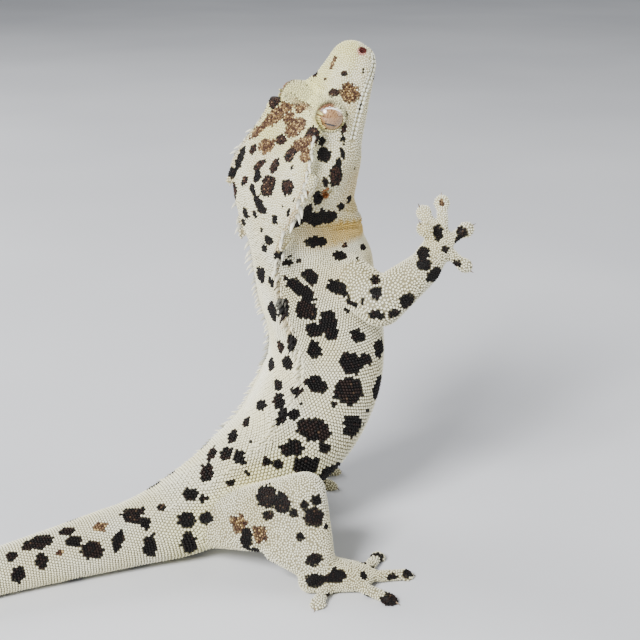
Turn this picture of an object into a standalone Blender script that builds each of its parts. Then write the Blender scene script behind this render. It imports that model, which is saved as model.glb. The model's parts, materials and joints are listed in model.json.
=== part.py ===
"""Crested gecko rearing up on its hind legs, life size, as a still museum model.

Metres, +Z up. The gecko faces +X, its tail lies on the floor towards -X, and its right side faces -Y.
Sizes are in millimetres, in a design frame whose floor is z = 0, and MM turns them into metres.
MODEL_CENTRE is the design point that becomes the origin, the middle of the model's floor print.

Body and head are one smooth run of sections from the tail tip to the snout, cut into nodes with a
small gap. Limbs are hulls over a few balls at the joints. Spines stand in rows on the crests.
"""

import math
import random
from typing import NamedTuple

import bmesh
import bpy
from mathutils import Matrix, Vector

MM = 0.001
GAP = 0.3
MODEL_CENTRE = Vector((-49.3, -2.1, 0.0))
LEFT = Vector((0.0, 1.0, 0.0))
SIDE_NAMES = {1: "left", -1: "right"}

HEAD_AHEAD = Vector((0.262, -0.122, 0.957)).normalized()
HEAD_SNOUT = Vector((4.7, -4.1, 97.9))
HEAD_ROLL = math.radians(7.5)


class Section(NamedTuple):
    """A cross-section of tail or torso: an oval whose upper corners carry the crests."""

    place: str
    centre: tuple
    flank: float
    back: float
    belly: float
    crest: tuple


class HeadSection(NamedTuple):
    """A cross-section of the head, by its distance behind the snout. Pairs are (half width, height)."""

    place: str
    behind: float
    top: float
    crest: tuple
    cheek: tuple
    jaw: tuple
    throat: float


class Toe(NamedTuple):
    """One toe: a knuckle that it passes, the middle of its pad, and the way its sole faces."""

    knuckle: tuple
    pad: tuple
    sole: tuple


class Limb(NamedTuple):
    """One limb's joints from root to palm, each long segment's balls, and the toes, inner one first."""

    side: str
    root: tuple
    bend: tuple
    wrist: tuple
    upper: list
    lower: list
    palm: list
    toes: list


BODY = [
    Section("tail tip, flattened", (-121.5, -15.2, 1.0), 1.5, 0.7, 1.1, (0.8, 0.5)),
    Section("tail tip pad", (-118.0, -13.2, 1.3), 2.0, 1.1, 1.4, (1.3, 0.8)),
    Section("tail before its tip", (-111.0, -9.6, 1.8), 1.9, 1.6, 1.9, (1.3, 1.2)),
    Section("tail, last quarter", (-100.0, -5.4, 2.6), 2.6, 2.4, 2.7, (1.8, 1.8)),
    Section("tail, third quarter", (-86.0, -2.0, 3.3), 3.1, 3.2, 3.4, (2.1, 2.5)),
    Section("tail, middle", (-72.0, -0.4, 4.1), 3.8, 4.0, 4.2, (2.6, 3.1)),
    Section("tail, second quarter", (-62.0, 0.0, 4.7), 4.3, 4.6, 4.8, (3.0, 3.6)),
    Section("tail, first quarter", (-54.0, 0.0, 5.3), 4.8, 5.2, 5.4, (3.4, 4.0)),
    Section("tail behind the vent", (-46.4, 0.0, 5.9), 5.5, 5.7, 6.0, (3.8, 4.5)),
    Section("vent bulge", (-38.4, 0.0, 6.5), 6.4, 6.3, 6.65, (4.3, 5.0)),
    Section("vent", (-31.3, 0.0, 7.5), 7.8, 7.4, 7.65, (5.2, 6.0)),
    Section("hips", (-22.9, 0.0, 10.1), 8.8, 8.7, 8.7, (6.0, 7.1)),
    Section("loin", (-15.4, 0.0, 14.0), 9.6, 9.7, 9.4, (6.6, 8.0)),
    Section("lower belly", (-7.7, 0.0, 19.0), 10.5, 10.7, 10.9, (7.1, 8.9)),
    Section("belly", (-3.1, 0.0, 24.8), 11.1, 11.4, 11.8, (7.6, 9.3)),
    Section("upper belly", (0.0, 0.0, 31.4), 11.2, 11.3, 12.0, (7.8, 9.2)),
    Section("lower ribs", (1.3, 0.0, 37.5), 10.8, 10.9, 11.6, (7.4, 9.0)),
    Section("upper ribs", (1.3, 0.0, 43.8), 10.2, 11.0, 11.2, (6.4, 9.8)),
    Section("chest", (0.0, 0.0, 50.2), 9.8, 11.4, 11.2, (6.2, 10.4)),
    Section("shoulders", (-1.5, 0.0, 55.4), 9.6, 10.8, 12.0, (5.2, 10.2)),
    Section("neck", (-2.9, 0.0, 60.6), 9.0, 10.1, 11.7, (5.6, 9.5)),
]

HEAD = [
    HeadSection("nape under the flaps", 33.0, 10.2, (9.6, 9.4), (9.2, 1.5), (7.4, -8.8), -11.7),
    HeadSection("back of the head", 30.0, 10.4, (11.9, 9.6), (9.8, 2.2), (7.4, -7.2), -10.4),
    HeadSection("widest, at the ears", 27.0, 10.2, (12.2, 9.7), (10.2, 2.4), (7.4, -5.2), -8.4),
    HeadSection("jaw corner", 23.5, 9.5, (11.3, 9.3), (10.2, 2.2), (7.2, -4.9), -7.6),
    HeadSection("behind the eyes", 20.0, 8.6, (10.1, 8.7), (9.6, 1.8), (7.2, -4.6), -7.0),
    HeadSection("back of the eyes", 17.0, 7.7, (8.8, 8.4), (8.7, 1.4), (6.8, -3.9), -6.0),
    HeadSection("eyes", 14.5, 6.8, (8.7, 8.0), (8.1, 0.8), (6.4, -3.8), -5.5),
    HeadSection("brows", 12.5, 5.8, (7.6, 7.0), (7.5, 0.4), (6.0, -3.8), -5.2),
    HeadSection("front of the eyes", 10.4, 4.7, (5.6, 4.7), (6.9, 0.0), (5.5, -3.8), -5.1),
    HeadSection("muzzle", 8.0, 3.7, (4.5, 3.2), (6.2, -0.5), (4.9, -3.9), -5.0),
    HeadSection("lips", 4.5, 2.6, (3.7, 2.0), (5.2, -1.1), (4.0, -4.1), -4.9),
    HeadSection("nostrils", 2.5, 2.1, (3.2, 1.6), (4.6, -1.2), (3.5, -4.0), -4.7),
    HeadSection("nose", 1.1, 1.5, (2.5, 1.0), (3.8, -1.2), (2.8, -3.5), -4.1),
    HeadSection("nose tip", 0.35, 0.7, (1.6, 0.3), (2.6, -1.2), (1.8, -2.8), -3.2),
    HeadSection("nose end", 0.0, -0.3, (0.6, -0.5), (1.0, -1.2), (0.7, -1.9), -2.1),
]

NECK_KEY = len(BODY) - 1
SNOUT_KEY = NECK_KEY + len(HEAD)

# A node's first and last section, counted along BODY and then HEAD
CUTS = {
    "tail_tip": (0.0, 4.0),
    "tail_middle": (4.0, 7.0),
    "tail_base": (7.0, 9.6),
    "pelvis": (9.6, 12.4),
    "belly": (12.4, 15.5),
    "chest": (15.5, 19.4),
    "neck": (19.4, NECK_KEY + 1.0),
    "head": (NECK_KEY + 1.0, float(SNOUT_KEY)),
}
ON_THE_FLOOR = ("tail_tip", "tail_middle", "tail_base", "pelvis")
RINGS_PER_KEY = {"tail_tip": 3, "neck": 3}
SIDES = {"tail_tip": 20, "tail_middle": 20, "tail_base": 20}
TORSO_SIDES = 28

# Where a section's corners lie along its outline, on the left; the right ones count back from CORNERS
CORNERS = 10
CREST, UNDER_CREST, CHEEK, JAW, THROAT = 1, 2, 3, 4, 5

# How far the flank is drawn in under the crest
BODY_TUCK = 0.35
HEAD_TUCK = 1.1
TUCK_FROM = 16.0

EYE_BEHIND = 13.0
EYE_ASIDE = 5.9
EYE_UP = 4.5
EYE_RADIUS = 3.0
EYE_LOOK = (0.9, 0.3, 0.05)
LID_RADIUS = 2.6
LID_THICKNESS = 0.5
LID_STANDS = 2.1

# The line between the lips: how far behind the snout, and at which corner of the section
LIPS = [
    (15.5, 3.32),
    (13.0, 3.30),
    (10.0, 3.30),
    (7.5, 3.36),
    (5.5, 3.45),
    (3.5, 3.60),
    (2.0, 3.68),
    (1.0, 3.72),
]
LIP_DROP = 2.35
LIP_FRONT = 1.5
MOUTH_WIDTH = 0.3
MOUTH_FLATTEN = 1.8
NOSTRIL_BEHIND = 1.0
NOSTRIL_CORNER = 2.4
NOSTRIL_RADIUS = 0.5
EAR_BEHIND = 26.0
EAR_CORNER = 3.15
EAR_LENGTH = 1.4
EAR_WIDTH = 0.75

# Nape flaps: where the crest starts to lift, where its free tip ends, and how far that stands off
FLAPS = {"head": (24.0, 31.6, 0.9), "neck": (34.7, 38.2, 1.3)}

# Spine rows: first and last place, spacing, length
HEAD_SPINES = (13.0, 36.0, 1.5, 1.15)
BACK_SPINES = (9.4, 20.4, 2.3, 0.95)
SPINE_RADIUS = 0.42
SPINE_SUNK = 0.5

TOE_RADIUS = 0.85
PAD_RADIUS = 1.5
PAD_THICKNESS = 0.75
CLAW_LENGTH = 1.0
CLAW_HOOK = 0.3

ARM_RIGHT = Limb(
    side="right",
    root=(2.0, -6.0, 54.5),
    bend=(5.2, -15.4, 51.4),
    wrist=(13.3, -17.0, 57.5),
    upper=[((2.0, -6.0, 54.5), 4.7), ((5.2, -15.4, 51.4), 4.4)],
    lower=[((5.2, -15.4, 51.4), 4.4), ((13.3, -17.0, 57.5), 3.2)],
    palm=[((13.3, -17.0, 57.5), 3.1), ((16.0, -17.0, 60.4), 2.4)],
    toes=[
        Toe((15.2, -16.2, 62.8), (13.8, -16.0, 64.7), (0.5, 0.8, 0.2)),
        Toe((16.4, -15.0, 64.0), (15.6, -12.4, 66.7), (0.6, 0.8, 0.1)),
        Toe((18.0, -15.4, 64.6), (19.3, -12.6, 68.3), (0.6, 0.8, -0.2)),
        Toe((19.0, -17.2, 62.6), (21.5, -17.8, 64.1), (0.5, 0.8, -0.4)),
        Toe((18.4, -18.2, 59.8), (20.4, -19.6, 57.9), (0.6, 0.7, 0.4)),
    ],
)
ARM_LEFT = Limb(
    side="left",
    root=(2.0, 6.0, 54.5),
    bend=(1.2, 16.6, 50.0),
    wrist=(9.0, 20.2, 47.4),
    upper=[((2.0, 6.0, 54.5), 4.7), ((1.2, 16.6, 50.0), 4.4)],
    lower=[((1.2, 16.6, 50.0), 4.4), ((9.0, 20.2, 47.4), 3.2)],
    palm=[((9.0, 20.2, 47.4), 3.1), ((12.0, 20.8, 46.8), 2.4)],
    toes=[
        Toe((13.2, 18.6, 48.6), (14.0, 16.6, 50.0), (0.5, -0.4, -0.8)),
        Toe((15.2, 20.0, 48.8), (17.6, 19.2, 50.4), (0.5, 0.0, -0.9)),
        Toe((16.0, 21.6, 47.6), (19.6, 22.4, 48.0), (0.1, 0.0, -1.0)),
        Toe((15.0, 22.6, 45.8), (18.0, 24.4, 44.6), (-0.3, 0.2, -0.9)),
        Toe((12.8, 23.0, 44.6), (13.6, 25.6, 42.6), (-0.2, -0.6, -0.8)),
    ],
)
LEG_RIGHT = Limb(
    side="right",
    root=(-23.5, -5.0, 9.4),
    bend=(-11.8, -18.8, 17.6),
    wrist=(-11.4, -23.4, 4.2),
    upper=[
        ((-25.5, -5.0, 8.0), 5.0),
        ((-21.0, -8.0, 10.2), 4.6),
        ((-16.0, -14.4, 12.6), 4.8),
        ((-11.8, -18.8, 17.6), 3.9),
        ((-19.0, -17.5, 8.6), 2.2),
    ],
    lower=[((-11.8, -18.8, 17.6), 3.9), ((-11.4, -23.4, 4.6), 3.4), ((-18.4, -19.0, 7.0), 1.9)],
    palm=[((-11.6, -23.4, 3.6), 3.2), ((-13.4, -24.2, 2.2), 2.2), ((-4.8, -25.2, 2.0), 2.2)],
    toes=[
        Toe((-8.6, -21.8, 1.0), (-9.6, -18.6, 0.5), (0.0, 0.0, -1.0)),
        Toe((-0.6, -23.0, 1.3), (3.4, -19.4, 0.5), (0.0, 0.0, -1.0)),
        Toe((-0.4, -27.0, 1.5), (5.0, -27.6, 0.5), (0.0, 0.0, -1.0)),
        Toe((-4.6, -30.0, 1.3), (-1.8, -34.0, 0.5), (0.0, 0.0, -1.0)),
        Toe((-11.8, -27.2, 1.3), (-14.2, -29.6, 0.5), (0.0, 0.0, -1.0)),
    ],
)
LEG_LEFT = Limb(
    side="left",
    root=(-22.5, 5.0, 9.6),
    bend=(-7.0, 17.6, 15.6),
    wrist=(-0.6, 19.4, 4.2),
    upper=[
        ((-25.0, 5.0, 8.2), 5.0),
        ((-20.5, 8.0, 11.0), 5.2),
        ((-13.6, 13.4, 12.0), 4.8),
        ((-7.0, 17.6, 15.6), 3.9),
        ((-12.6, 16.4, 7.4), 2.2),
    ],
    lower=[((-7.0, 17.6, 15.6), 3.9), ((-0.6, 19.4, 4.6), 3.4), ((-10.4, 17.4, 6.4), 1.9)],
    palm=[((-0.8, 19.4, 3.6), 3.2), ((-2.8, 19.6, 2.2), 2.2), ((5.0, 19.6, 2.0), 2.2)],
    toes=[
        Toe((6.2, 15.6, 1.2), (8.4, 12.4, 0.5), (0.0, 0.0, -1.0)),
        Toe((9.2, 18.2, 1.3), (12.2, 18.6, 0.5), (0.0, 0.0, -1.0)),
        Toe((9.4, 22.0, 1.4), (12.4, 25.0, 0.5), (0.0, 0.0, -1.0)),
        Toe((6.8, 24.8, 1.3), (7.6, 29.4, 0.5), (0.0, 0.0, -1.0)),
        Toe((1.6, 23.6, 1.2), (-1.6, 26.8, 0.5), (0.0, 0.0, -1.0)),
    ],
)

SKIN = (0.74, 0.71, 0.58)
IRIS = (0.42, 0.30, 0.17)


class Key(NamedTuple):
    """A section of body or head alike: its centre and its corners, each (half width, height)."""

    centre: Vector
    corners: list


class Ring(NamedTuple):
    """A section ready to be drawn: its place, its axes and its corners all the way round."""

    centre: Vector
    ahead: Vector
    up: Vector
    side: Vector
    shape: list


def curve_value(before, start, end, after, u):
    """Catmull-Rom value a share u of the way from start to end."""
    square = (before * 2 - start * 5 + end * 4 - after) * u**2
    cube = (start * 3 - before - end * 3 + after) * u**3
    return (start * 2 + (end - before) * u + square + cube) * 0.5


def value_along(values, t):
    """Catmull-Rom value at t, counted in steps along the values."""
    last = len(values) - 1
    i = min(max(int(math.floor(t)), 0), last - 1)
    start, end = values[i], values[i + 1]
    before = values[i - 1] if i > 0 else start * 2 - end
    after = values[i + 2] if i + 2 <= last else end * 2 - start
    return curve_value(before, start, end, after, t - i)


def with_tuck(top, crest, cheek, jaw, throat, tuck):
    """The corners from top to throat, with the one under the crest drawn in."""
    under = Vector(crest).lerp(Vector(cheek), 0.35) - Vector((tuck, 0.0))
    return [Vector((0.0, top)), Vector(crest), under, Vector(cheek), Vector(jaw), Vector((0.0, throat))]


def body_key(section):
    """The key of a tail or torso section."""
    jaw = (0.74 * section.flank, -0.71 * section.belly)
    tuck = BODY_TUCK * section.flank / 10
    corners = with_tuck(section.back, section.crest, (section.flank, 0.0), jaw, -section.belly, tuck)
    return Key(Vector(section.centre), corners)


def head_key(section):
    """The key of a head section."""
    tuck = HEAD_TUCK if section.behind > TUCK_FROM else 0.0
    centre = HEAD_SNOUT - HEAD_AHEAD * section.behind
    return Key(centre, with_tuck(*section[2:], tuck))


def softened(directions):
    """Directions averaged with their neighbours, twice over, so that no two sections cross."""
    for _ in range(2):
        inner = [(a + b * 2 + c).normalized() for a, b, c in zip(directions, directions[1:], directions[2:])]
        directions = [directions[0], *inner, directions[-1]]
    return directions


KEYS = [body_key(section) for section in BODY] + [head_key(section) for section in HEAD]
PATH = [key.centre for key in KEYS]
STEPS = [(b - a).normalized() for a, b in zip(PATH[: NECK_KEY + 1], PATH[1:])]
AHEADS = softened(STEPS + [HEAD_AHEAD] * len(HEAD))
ROLLS = [0.0] * (NECK_KEY - 1) + [HEAD_ROLL / 3, HEAD_ROLL * 2 / 3] + [HEAD_ROLL] * len(HEAD)


def ring_at(t, grow=0.0, shift=0.0):
    """The section at t along the path, made larger by grow and moved ahead by shift."""
    ahead = value_along(AHEADS, t).normalized()
    level = ahead.cross(LEFT).normalized()
    up = Matrix.Rotation(value_along(ROLLS, t), 3, ahead) @ level
    half = [value_along([key.corners[n] for key in KEYS], t) for n in range(THROAT + 1)]
    middle = (half[0] + half[THROAT]) / 2
    half = [corner + (corner - middle).normalized() * grow for corner in half]
    mirrored = [Vector((-corner.x, corner.y)) for corner in half[THROAT - 1 : 0 : -1]]
    centre = value_along(PATH, t) + ahead * shift
    return Ring(centre, ahead, up, up.cross(ahead), half + mirrored)


def ring_point(ring, corner):
    """The point of a section's outline at a corner number."""
    i = int(math.floor(corner))
    before, start, end, after = (ring.shape[(i + k) % CORNERS] for k in (-1, 0, 1, 2))
    flat = curve_value(before, start, end, after, corner - i)
    return ring.centre + ring.side * flat.x + ring.up * flat.y


def surface_place(t, corner, side):
    """A point of the skin and the way out of it there, on the left for side 1 and the right for -1."""
    if side < 0:
        corner = CORNERS - corner
    ring = ring_at(t)
    point = ring_point(ring, corner)
    along = ring_point(ring, corner + 0.1) - ring_point(ring, corner - 0.1)
    return point, ring.ahead.cross(along).normalized()


def key_behind(distance):
    """The place along the path that is a given distance behind the snout."""
    if distance > HEAD[0].behind:
        step = (PATH[NECK_KEY + 1] - PATH[NECK_KEY]).length
        return NECK_KEY + 1 - (distance - HEAD[0].behind) / step
    for i in range(len(HEAD) - 1):
        far, near = HEAD[i].behind, HEAD[i + 1].behind
        if near <= distance <= far:
            return NECK_KEY + 1 + i + (far - distance) / (far - near)
    return float(SNOUT_KEY)


def new_object(name, shaped):
    """An object from a bmesh in design millimetres, with its faces turned outward."""
    bmesh.ops.translate(shaped, verts=shaped.verts, vec=-MODEL_CENTRE)
    bmesh.ops.scale(shaped, verts=shaped.verts, vec=(MM, MM, MM))
    bmesh.ops.recalc_face_normals(shaped, faces=shaped.faces)
    mesh = bpy.data.meshes.new(name)
    shaped.to_mesh(mesh)
    shaped.free()
    made = bpy.data.objects.new(name, mesh)
    bpy.context.scene.collection.objects.link(made)
    return made


def loft(name, loops):
    """A closed solid through loops of points, each bridged to the next, with both ends filled."""
    shaped = bmesh.new()
    rows = [[shaped.verts.new(point) for point in loop] for loop in loops]
    for near, far in zip(rows, rows[1:]):
        for i in range(len(near)):
            j = (i + 1) % len(near)
            shaped.faces.new((near[i], near[j], far[j], far[i]))
    shaped.faces.new(rows[0])
    shaped.faces.new(rows[-1])
    return new_object(name, shaped)


def hull(name, balls, segments=12):
    """The smooth hull over balls, each a (centre, radius) pair."""
    shaped = bmesh.new()
    rings = segments * 2 // 3
    for centre, radius in balls:
        place = Matrix.Translation(Vector(centre))
        bmesh.ops.create_uvsphere(shaped, u_segments=segments, v_segments=rings, radius=radius, matrix=place)
    bmesh.ops.delete(shaped, geom=shaped.edges, context="EDGES_FACES")
    made = bmesh.ops.convex_hull(shaped, input=shaped.verts)
    inner = set(made["geom_interior"]) | set(made["geom_unused"])
    loose = [v for v in shaped.verts if v in inner or not v.link_faces]
    bmesh.ops.delete(shaped, geom=loose, context="VERTS")
    return new_object(name, shaped)


def turned_ball(name, centre, axes, radii, segments=10):
    """An oval ball whose radii lie along three given axes."""
    shaped = bmesh.new()
    frame = Matrix([axis * radius for axis, radius in zip(axes, radii)]).transposed()
    place = Matrix.Translation(centre) @ frame.to_4x4()
    rings = segments * 2 // 3
    bmesh.ops.create_uvsphere(shaped, u_segments=segments, v_segments=rings, radius=1.0, matrix=place)
    return new_object(name, shaped)


def tube_ring(name, centre, axis, radius, thickness):
    """A closed ring of round section about an axis."""
    across = axis.orthogonal().normalized()
    other = axis.cross(across)
    around, about = 18, 6
    shaped = bmesh.new()
    rows = []
    for n in range(around):
        angle = math.tau * n / around
        out = across * math.cos(angle) + other * math.sin(angle)
        middle = centre + out * radius
        turns = [math.tau * k / about for k in range(about)]
        loop = [middle + (out * math.cos(a) + axis * math.sin(a)) * thickness for a in turns]
        rows.append([shaped.verts.new(point) for point in loop])
    for n, near in enumerate(rows):
        far = rows[(n + 1) % around]
        for i in range(about):
            j = (i + 1) % about
            shaped.faces.new((near[i], near[j], far[j], far[i]))
    return new_object(name, shaped)


def apply_modifiers(target):
    """Replace the target's mesh by what its modifiers make of it."""
    graph = bpy.context.evaluated_depsgraph_get()
    made = bpy.data.meshes.new_from_object(target.evaluated_get(graph))
    target.modifiers.clear()
    target.data = made


def keep_largest(target):
    """Drop every closed surface of the target but the one with the most corners."""
    shaped = bmesh.new()
    shaped.from_mesh(target.data)
    left = set(shaped.verts)
    islands = []
    while left:
        island = set()
        edge = [left.pop()]
        while edge:
            corner = edge.pop()
            island.add(corner)
            near = {e.other_vert(corner) for e in corner.link_edges} & left
            left -= near
            edge += near
        islands.append(island)
    largest = max(islands, key=len)
    bmesh.ops.delete(shaped, geom=[v for v in shaped.verts if v not in largest], context="VERTS")
    shaped.to_mesh(target.data)
    shaped.free()


def cut_away(target, cutter):
    """Cut another object out of the target, then remove that object."""
    modifier = target.modifiers.new("Cut", "BOOLEAN")
    modifier.operation = "DIFFERENCE"
    modifier.object = cutter
    apply_modifiers(target)
    keep_largest(target)
    bpy.data.objects.remove(cutter)


def join_all(target, others):
    """One body out of the target and the other objects, which are removed."""
    group = bpy.data.collections.new(target.name + "_parts")
    for other in others:
        group.objects.link(other)
    modifier = target.modifiers.new("Join", "BOOLEAN")
    modifier.operation = "UNION"
    modifier.operand_type = "COLLECTION"
    modifier.collection = group
    apply_modifiers(target)
    keep_largest(target)
    for other in others:
        bpy.data.objects.remove(other)
    bpy.data.collections.remove(group)


def keep_side(target, point, away):
    """Cut the target flat through a point and drop what lies on the away side."""
    shaped = bmesh.new()
    shaped.from_mesh(target.data)
    place = (Vector(point) - MODEL_CENTRE) * MM
    parts = [*shaped.verts, *shaped.edges, *shaped.faces]
    cut = bmesh.ops.bisect_plane(shaped, geom=parts, plane_co=place, plane_no=away, clear_outer=True)
    rim = [e for e in cut["geom_cut"] if isinstance(e, bmesh.types.BMEdge)]
    if rim:
        bmesh.ops.holes_fill(shaped, edges=rim, sides=0)
    bmesh.ops.recalc_face_normals(shaped, faces=shaped.faces)
    shaped.to_mesh(target.data)
    shaped.free()


def stand_flat(target):
    """Trim whatever reaches under the floor, so that it rests on a flat."""
    keep_side(target, (0.0, 0.0, 0.0), (0.0, 0.0, -1.0))


def span_steps(start, end, per_key):
    """Places along the path from start to end, with per_key steps between keys."""
    steps = max(2, round((end - start) * per_key))
    return [start + (end - start) * i / steps for i in range(steps + 1)]


def body_piece(name):
    """One length of the body, ending half a gap short of its neighbours."""
    start, end = CUTS[name]
    steps = span_steps(start, end, RINGS_PER_KEY.get(name, 2))
    sides = SIDES.get(name, TORSO_SIDES)
    loops = []
    for n, t in enumerate(steps):
        shift = 0.0
        if n == 0 and start > 0:
            shift = GAP / 2
        if n == len(steps) - 1 and end < SNOUT_KEY:
            shift = -GAP / 2
        ring = ring_at(t, 0.0, shift)
        loops.append([ring_point(ring, k * CORNERS / sides) for k in range(sides)])
    return loft(name, loops)


def torso_mould():
    """Torso and neck in one piece, a gap larger all round, to cut the limbs' roots with."""
    loops = []
    for t in span_steps(8.0, NECK_KEY + 1.0, 2):
        ring = ring_at(t, GAP)
        loops.append([ring_point(ring, k * CORNERS / TORSO_SIDES) for k in range(TORSO_SIDES)])
    return loft("mould", loops)


def joint_plane(before, joint, after):
    """The direction across a joint, halfway between the segments that meet there."""
    arriving = (Vector(joint) - Vector(before)).normalized()
    leaving = (Vector(after) - Vector(joint)).normalized()
    return (arriving + leaving).normalized()


def limb_segments(limb, upper_name, lower_name):
    """The two long segments of a limb, cut face to face where it bends and at the wrist."""
    upper = hull(upper_name, limb.upper)
    lower = hull(lower_name, limb.lower)
    bend = Vector(limb.bend)
    wrist = Vector(limb.wrist)
    across = joint_plane(limb.root, limb.bend, limb.wrist)
    keep_side(upper, bend - across * GAP / 2, across)
    keep_side(lower, bend + across * GAP / 2, -across)
    onward = joint_plane(limb.bend, limb.wrist, limb.palm[-1][0])
    keep_side(lower, wrist - onward * GAP / 2, onward)
    cut_away(upper, torso_mould())
    return [upper, lower]


def claw(start, ahead, sole):
    """A small claw that hooks towards the sole."""
    loops = []
    for share, radius in ((-0.5, 0.32), (0.5, 0.24), (1.0, 0.05)):
        middle = start + ahead * CLAW_LENGTH * share + sole * CLAW_HOOK * max(share, 0.0) ** 2
        aside = ahead.cross(sole)
        loops.append([middle + way * radius for way in (aside, sole, -aside, -sole)])
    return loft("claw", loops)


def toe_parts(palm, toe):
    """The shaft, the wide pad and the claw of one toe."""
    knuckle = Vector(toe.knuckle)
    pad = Vector(toe.pad)
    ahead = (pad - knuckle).normalized()
    sole = Vector(toe.sole)
    sole = (sole - ahead * sole.dot(ahead)).normalized()
    base = Vector(palm).lerp(knuckle, 0.45)
    shaft_balls = [(base, TOE_RADIUS * 1.3), (knuckle, TOE_RADIUS), (pad - sole * 0.3, TOE_RADIUS * 0.8)]
    shaft = hull("shaft", shaft_balls, 6)
    axes = (ahead, sole.cross(ahead), sole)
    disc = turned_ball("disc", pad, axes, (PAD_RADIUS * 1.1, PAD_RADIUS, PAD_THICKNESS), 8)
    tip = claw(pad + ahead * PAD_RADIUS * 1.0 - sole * 0.25, ahead, sole)
    return [shaft, disc, tip]


def foot(name, limb):
    """A hand or foot: the palm and five spread toes, cut face to face with the wrist."""
    wrist = Vector(limb.wrist)
    palm = Vector(limb.palm[-1][0])
    knuckles = [(palm.lerp(Vector(toe.knuckle), 0.7), 1.2) for toe in limb.toes[1:4]]
    made = hull(name, limb.palm + knuckles, 9)
    parts = []
    for toe in limb.toes:
        parts += toe_parts(palm, toe)
    join_all(made, parts)
    onward = joint_plane(limb.bend, limb.wrist, palm)
    keep_side(made, wrist + onward * GAP / 2, -onward)
    return made


def eye_place(side):
    """Centre of an eyeball and the way it looks."""
    ring = ring_at(key_behind(EYE_BEHIND))
    out, raised, forward = EYE_LOOK
    look = ring.side * side * out + ring.up * raised + ring.ahead * forward
    return ring.centre + ring.side * side * EYE_ASIDE + ring.up * EYE_UP, look.normalized()


def mouth_cutter():
    """A thin tube along the lips, from under one eye round the nose to under the other."""
    left = [surface_place(key_behind(behind), corner, 1)[0] for behind, corner in LIPS]
    right = [surface_place(key_behind(behind), corner, -1)[0] for behind, corner in LIPS]
    ring = ring_at(key_behind(0.2))
    middle = ring.centre - ring.up * LIP_DROP + ring.ahead * 0.1
    front = [middle + ring.side * across * LIP_FRONT for across in (1, 0, -1)]
    route = left + front + right[::-1]
    loops = []
    for i, point in enumerate(route):
        along = (route[min(i + 1, len(route) - 1)] - route[max(i - 1, 0)]).normalized()
        aside = along.cross(ring.up).normalized()
        above = aside.cross(along)
        turns = [math.tau * k / 6 for k in range(6)]
        ways = [aside * math.cos(a) * MOUTH_FLATTEN + above * math.sin(a) for a in turns]
        loops.append([point + way * MOUTH_WIDTH for way in ways])
    return loft("mouth", loops)


def spine(point, outward, backward, length, radius, vary):
    """A tapered spine that leans back along the crest, a little unlike its neighbours."""
    length *= vary.uniform(0.8, 1.15)
    lean = (outward * vary.uniform(0.7, 0.95) + backward * 0.75).normalized()
    across = lean.cross(backward).normalized()
    other = across.cross(lean)
    loops = []
    for reach, width in ((-SPINE_SUNK, radius), (length, radius * 0.12)):
        turns = [math.tau * k / 5 for k in range(5)]
        ways = [across * math.cos(a) + other * math.sin(a) for a in turns]
        loops.append([point + lean * reach + way * width for way in ways])
    return loft("spine", loops)


def crest_spines():
    """Spines for each node that carries some: {node name: [spines]}."""
    rows = {name: [] for name in CUTS}
    vary = random.Random(11)
    first, last, step, length = HEAD_SPINES
    count = round((last - first) / step)
    places = []
    for i in range(count + 1):
        share = i / count
        places.append((key_behind(first + (last - first) * share), length * (0.7 + 0.5 * share)))
    first, last, step, length = BACK_SPINES
    t = first
    while t < last:
        places.append((t, length * (0.75 + 0.25 * (t - first) / (last - first))))
        speed = (value_along(PATH, t + 0.1) - value_along(PATH, t)).length * 10
        t += step / speed
    for t, length in places:
        for side in (1, -1):
            point, outward = surface_place(t, CREST, side)
            backward = -ring_at(t).ahead
            name = next(name for name, (start, end) in CUTS.items() if start <= t < end)
            clear = GAP + SPINE_RADIUS
            start, end = (value_along(PATH, cut) for cut in CUTS[name])
            centre = value_along(PATH, t)
            if (centre - start).length < clear + length or (centre - end).length < clear:
                continue
            rows[name].append(spine(point, outward, backward, length, SPINE_RADIUS, vary))
    return rows


def nape_flap(side, start, tip, lift):
    """A tongue of skin that lifts off the crest and ends in a free tip."""
    balls = []
    for share, radius, out in ((0.0, 1.5, -1.6), (0.5, 1.0, -0.6), (1.0, 0.35, lift)):
        point, outward = surface_place(key_behind(start + (tip - start) * share), CREST + 0.1, side)
        balls.append((point + outward * out, radius))
    return hull("flap", balls, 8)


def build_head(head):
    """Lids on the head, and its nostrils, ears, mouth line and eye sockets cut in."""
    added = []
    cutters = [mouth_cutter()]
    for side in (1, -1):
        centre, look = eye_place(side)
        added.append(tube_ring("lid", centre + look * LID_STANDS, look, LID_RADIUS, LID_THICKNESS))
        cutters.append(hull("socket", [(centre, EYE_RADIUS + GAP)], 18))
        point, outward = surface_place(key_behind(NOSTRIL_BEHIND), NOSTRIL_CORNER, side)
        cutters.append(hull("nostril", [(point, NOSTRIL_RADIUS)], 6))
        point, outward = surface_place(key_behind(EAR_BEHIND), EAR_CORNER, side)
        ahead = ring_at(key_behind(EAR_BEHIND)).ahead
        slant = (ahead - outward.cross(ahead) * side * 0.7).normalized()
        axes = (slant, outward.cross(slant), outward)
        cutters.append(turned_ball("ear", point, axes, (EAR_LENGTH, EAR_WIDTH, 1.3), 9))
    join_all(head, added)
    for cutter in cutters:
        cut_away(head, cutter)


def build_eyes():
    """The eyeballs."""
    return [hull("eye_" + SIDE_NAMES[side], [(eye_place(side)[0], EYE_RADIUS)], 14) for side in (1, -1)]


def build_body():
    """Tail, torso, neck and head, in lengths, with their spines."""
    pieces = {name: body_piece(name) for name in CUTS}
    build_head(pieces["head"])
    raised = crest_spines()
    for name, flap in FLAPS.items():
        raised[name] += [nape_flap(side, *flap) for side in (1, -1)]
    for name, forms in raised.items():
        if forms:
            join_all(pieces[name], forms)
    for name in ON_THE_FLOOR:
        stand_flat(pieces[name])
    return list(pieces.values())


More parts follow.
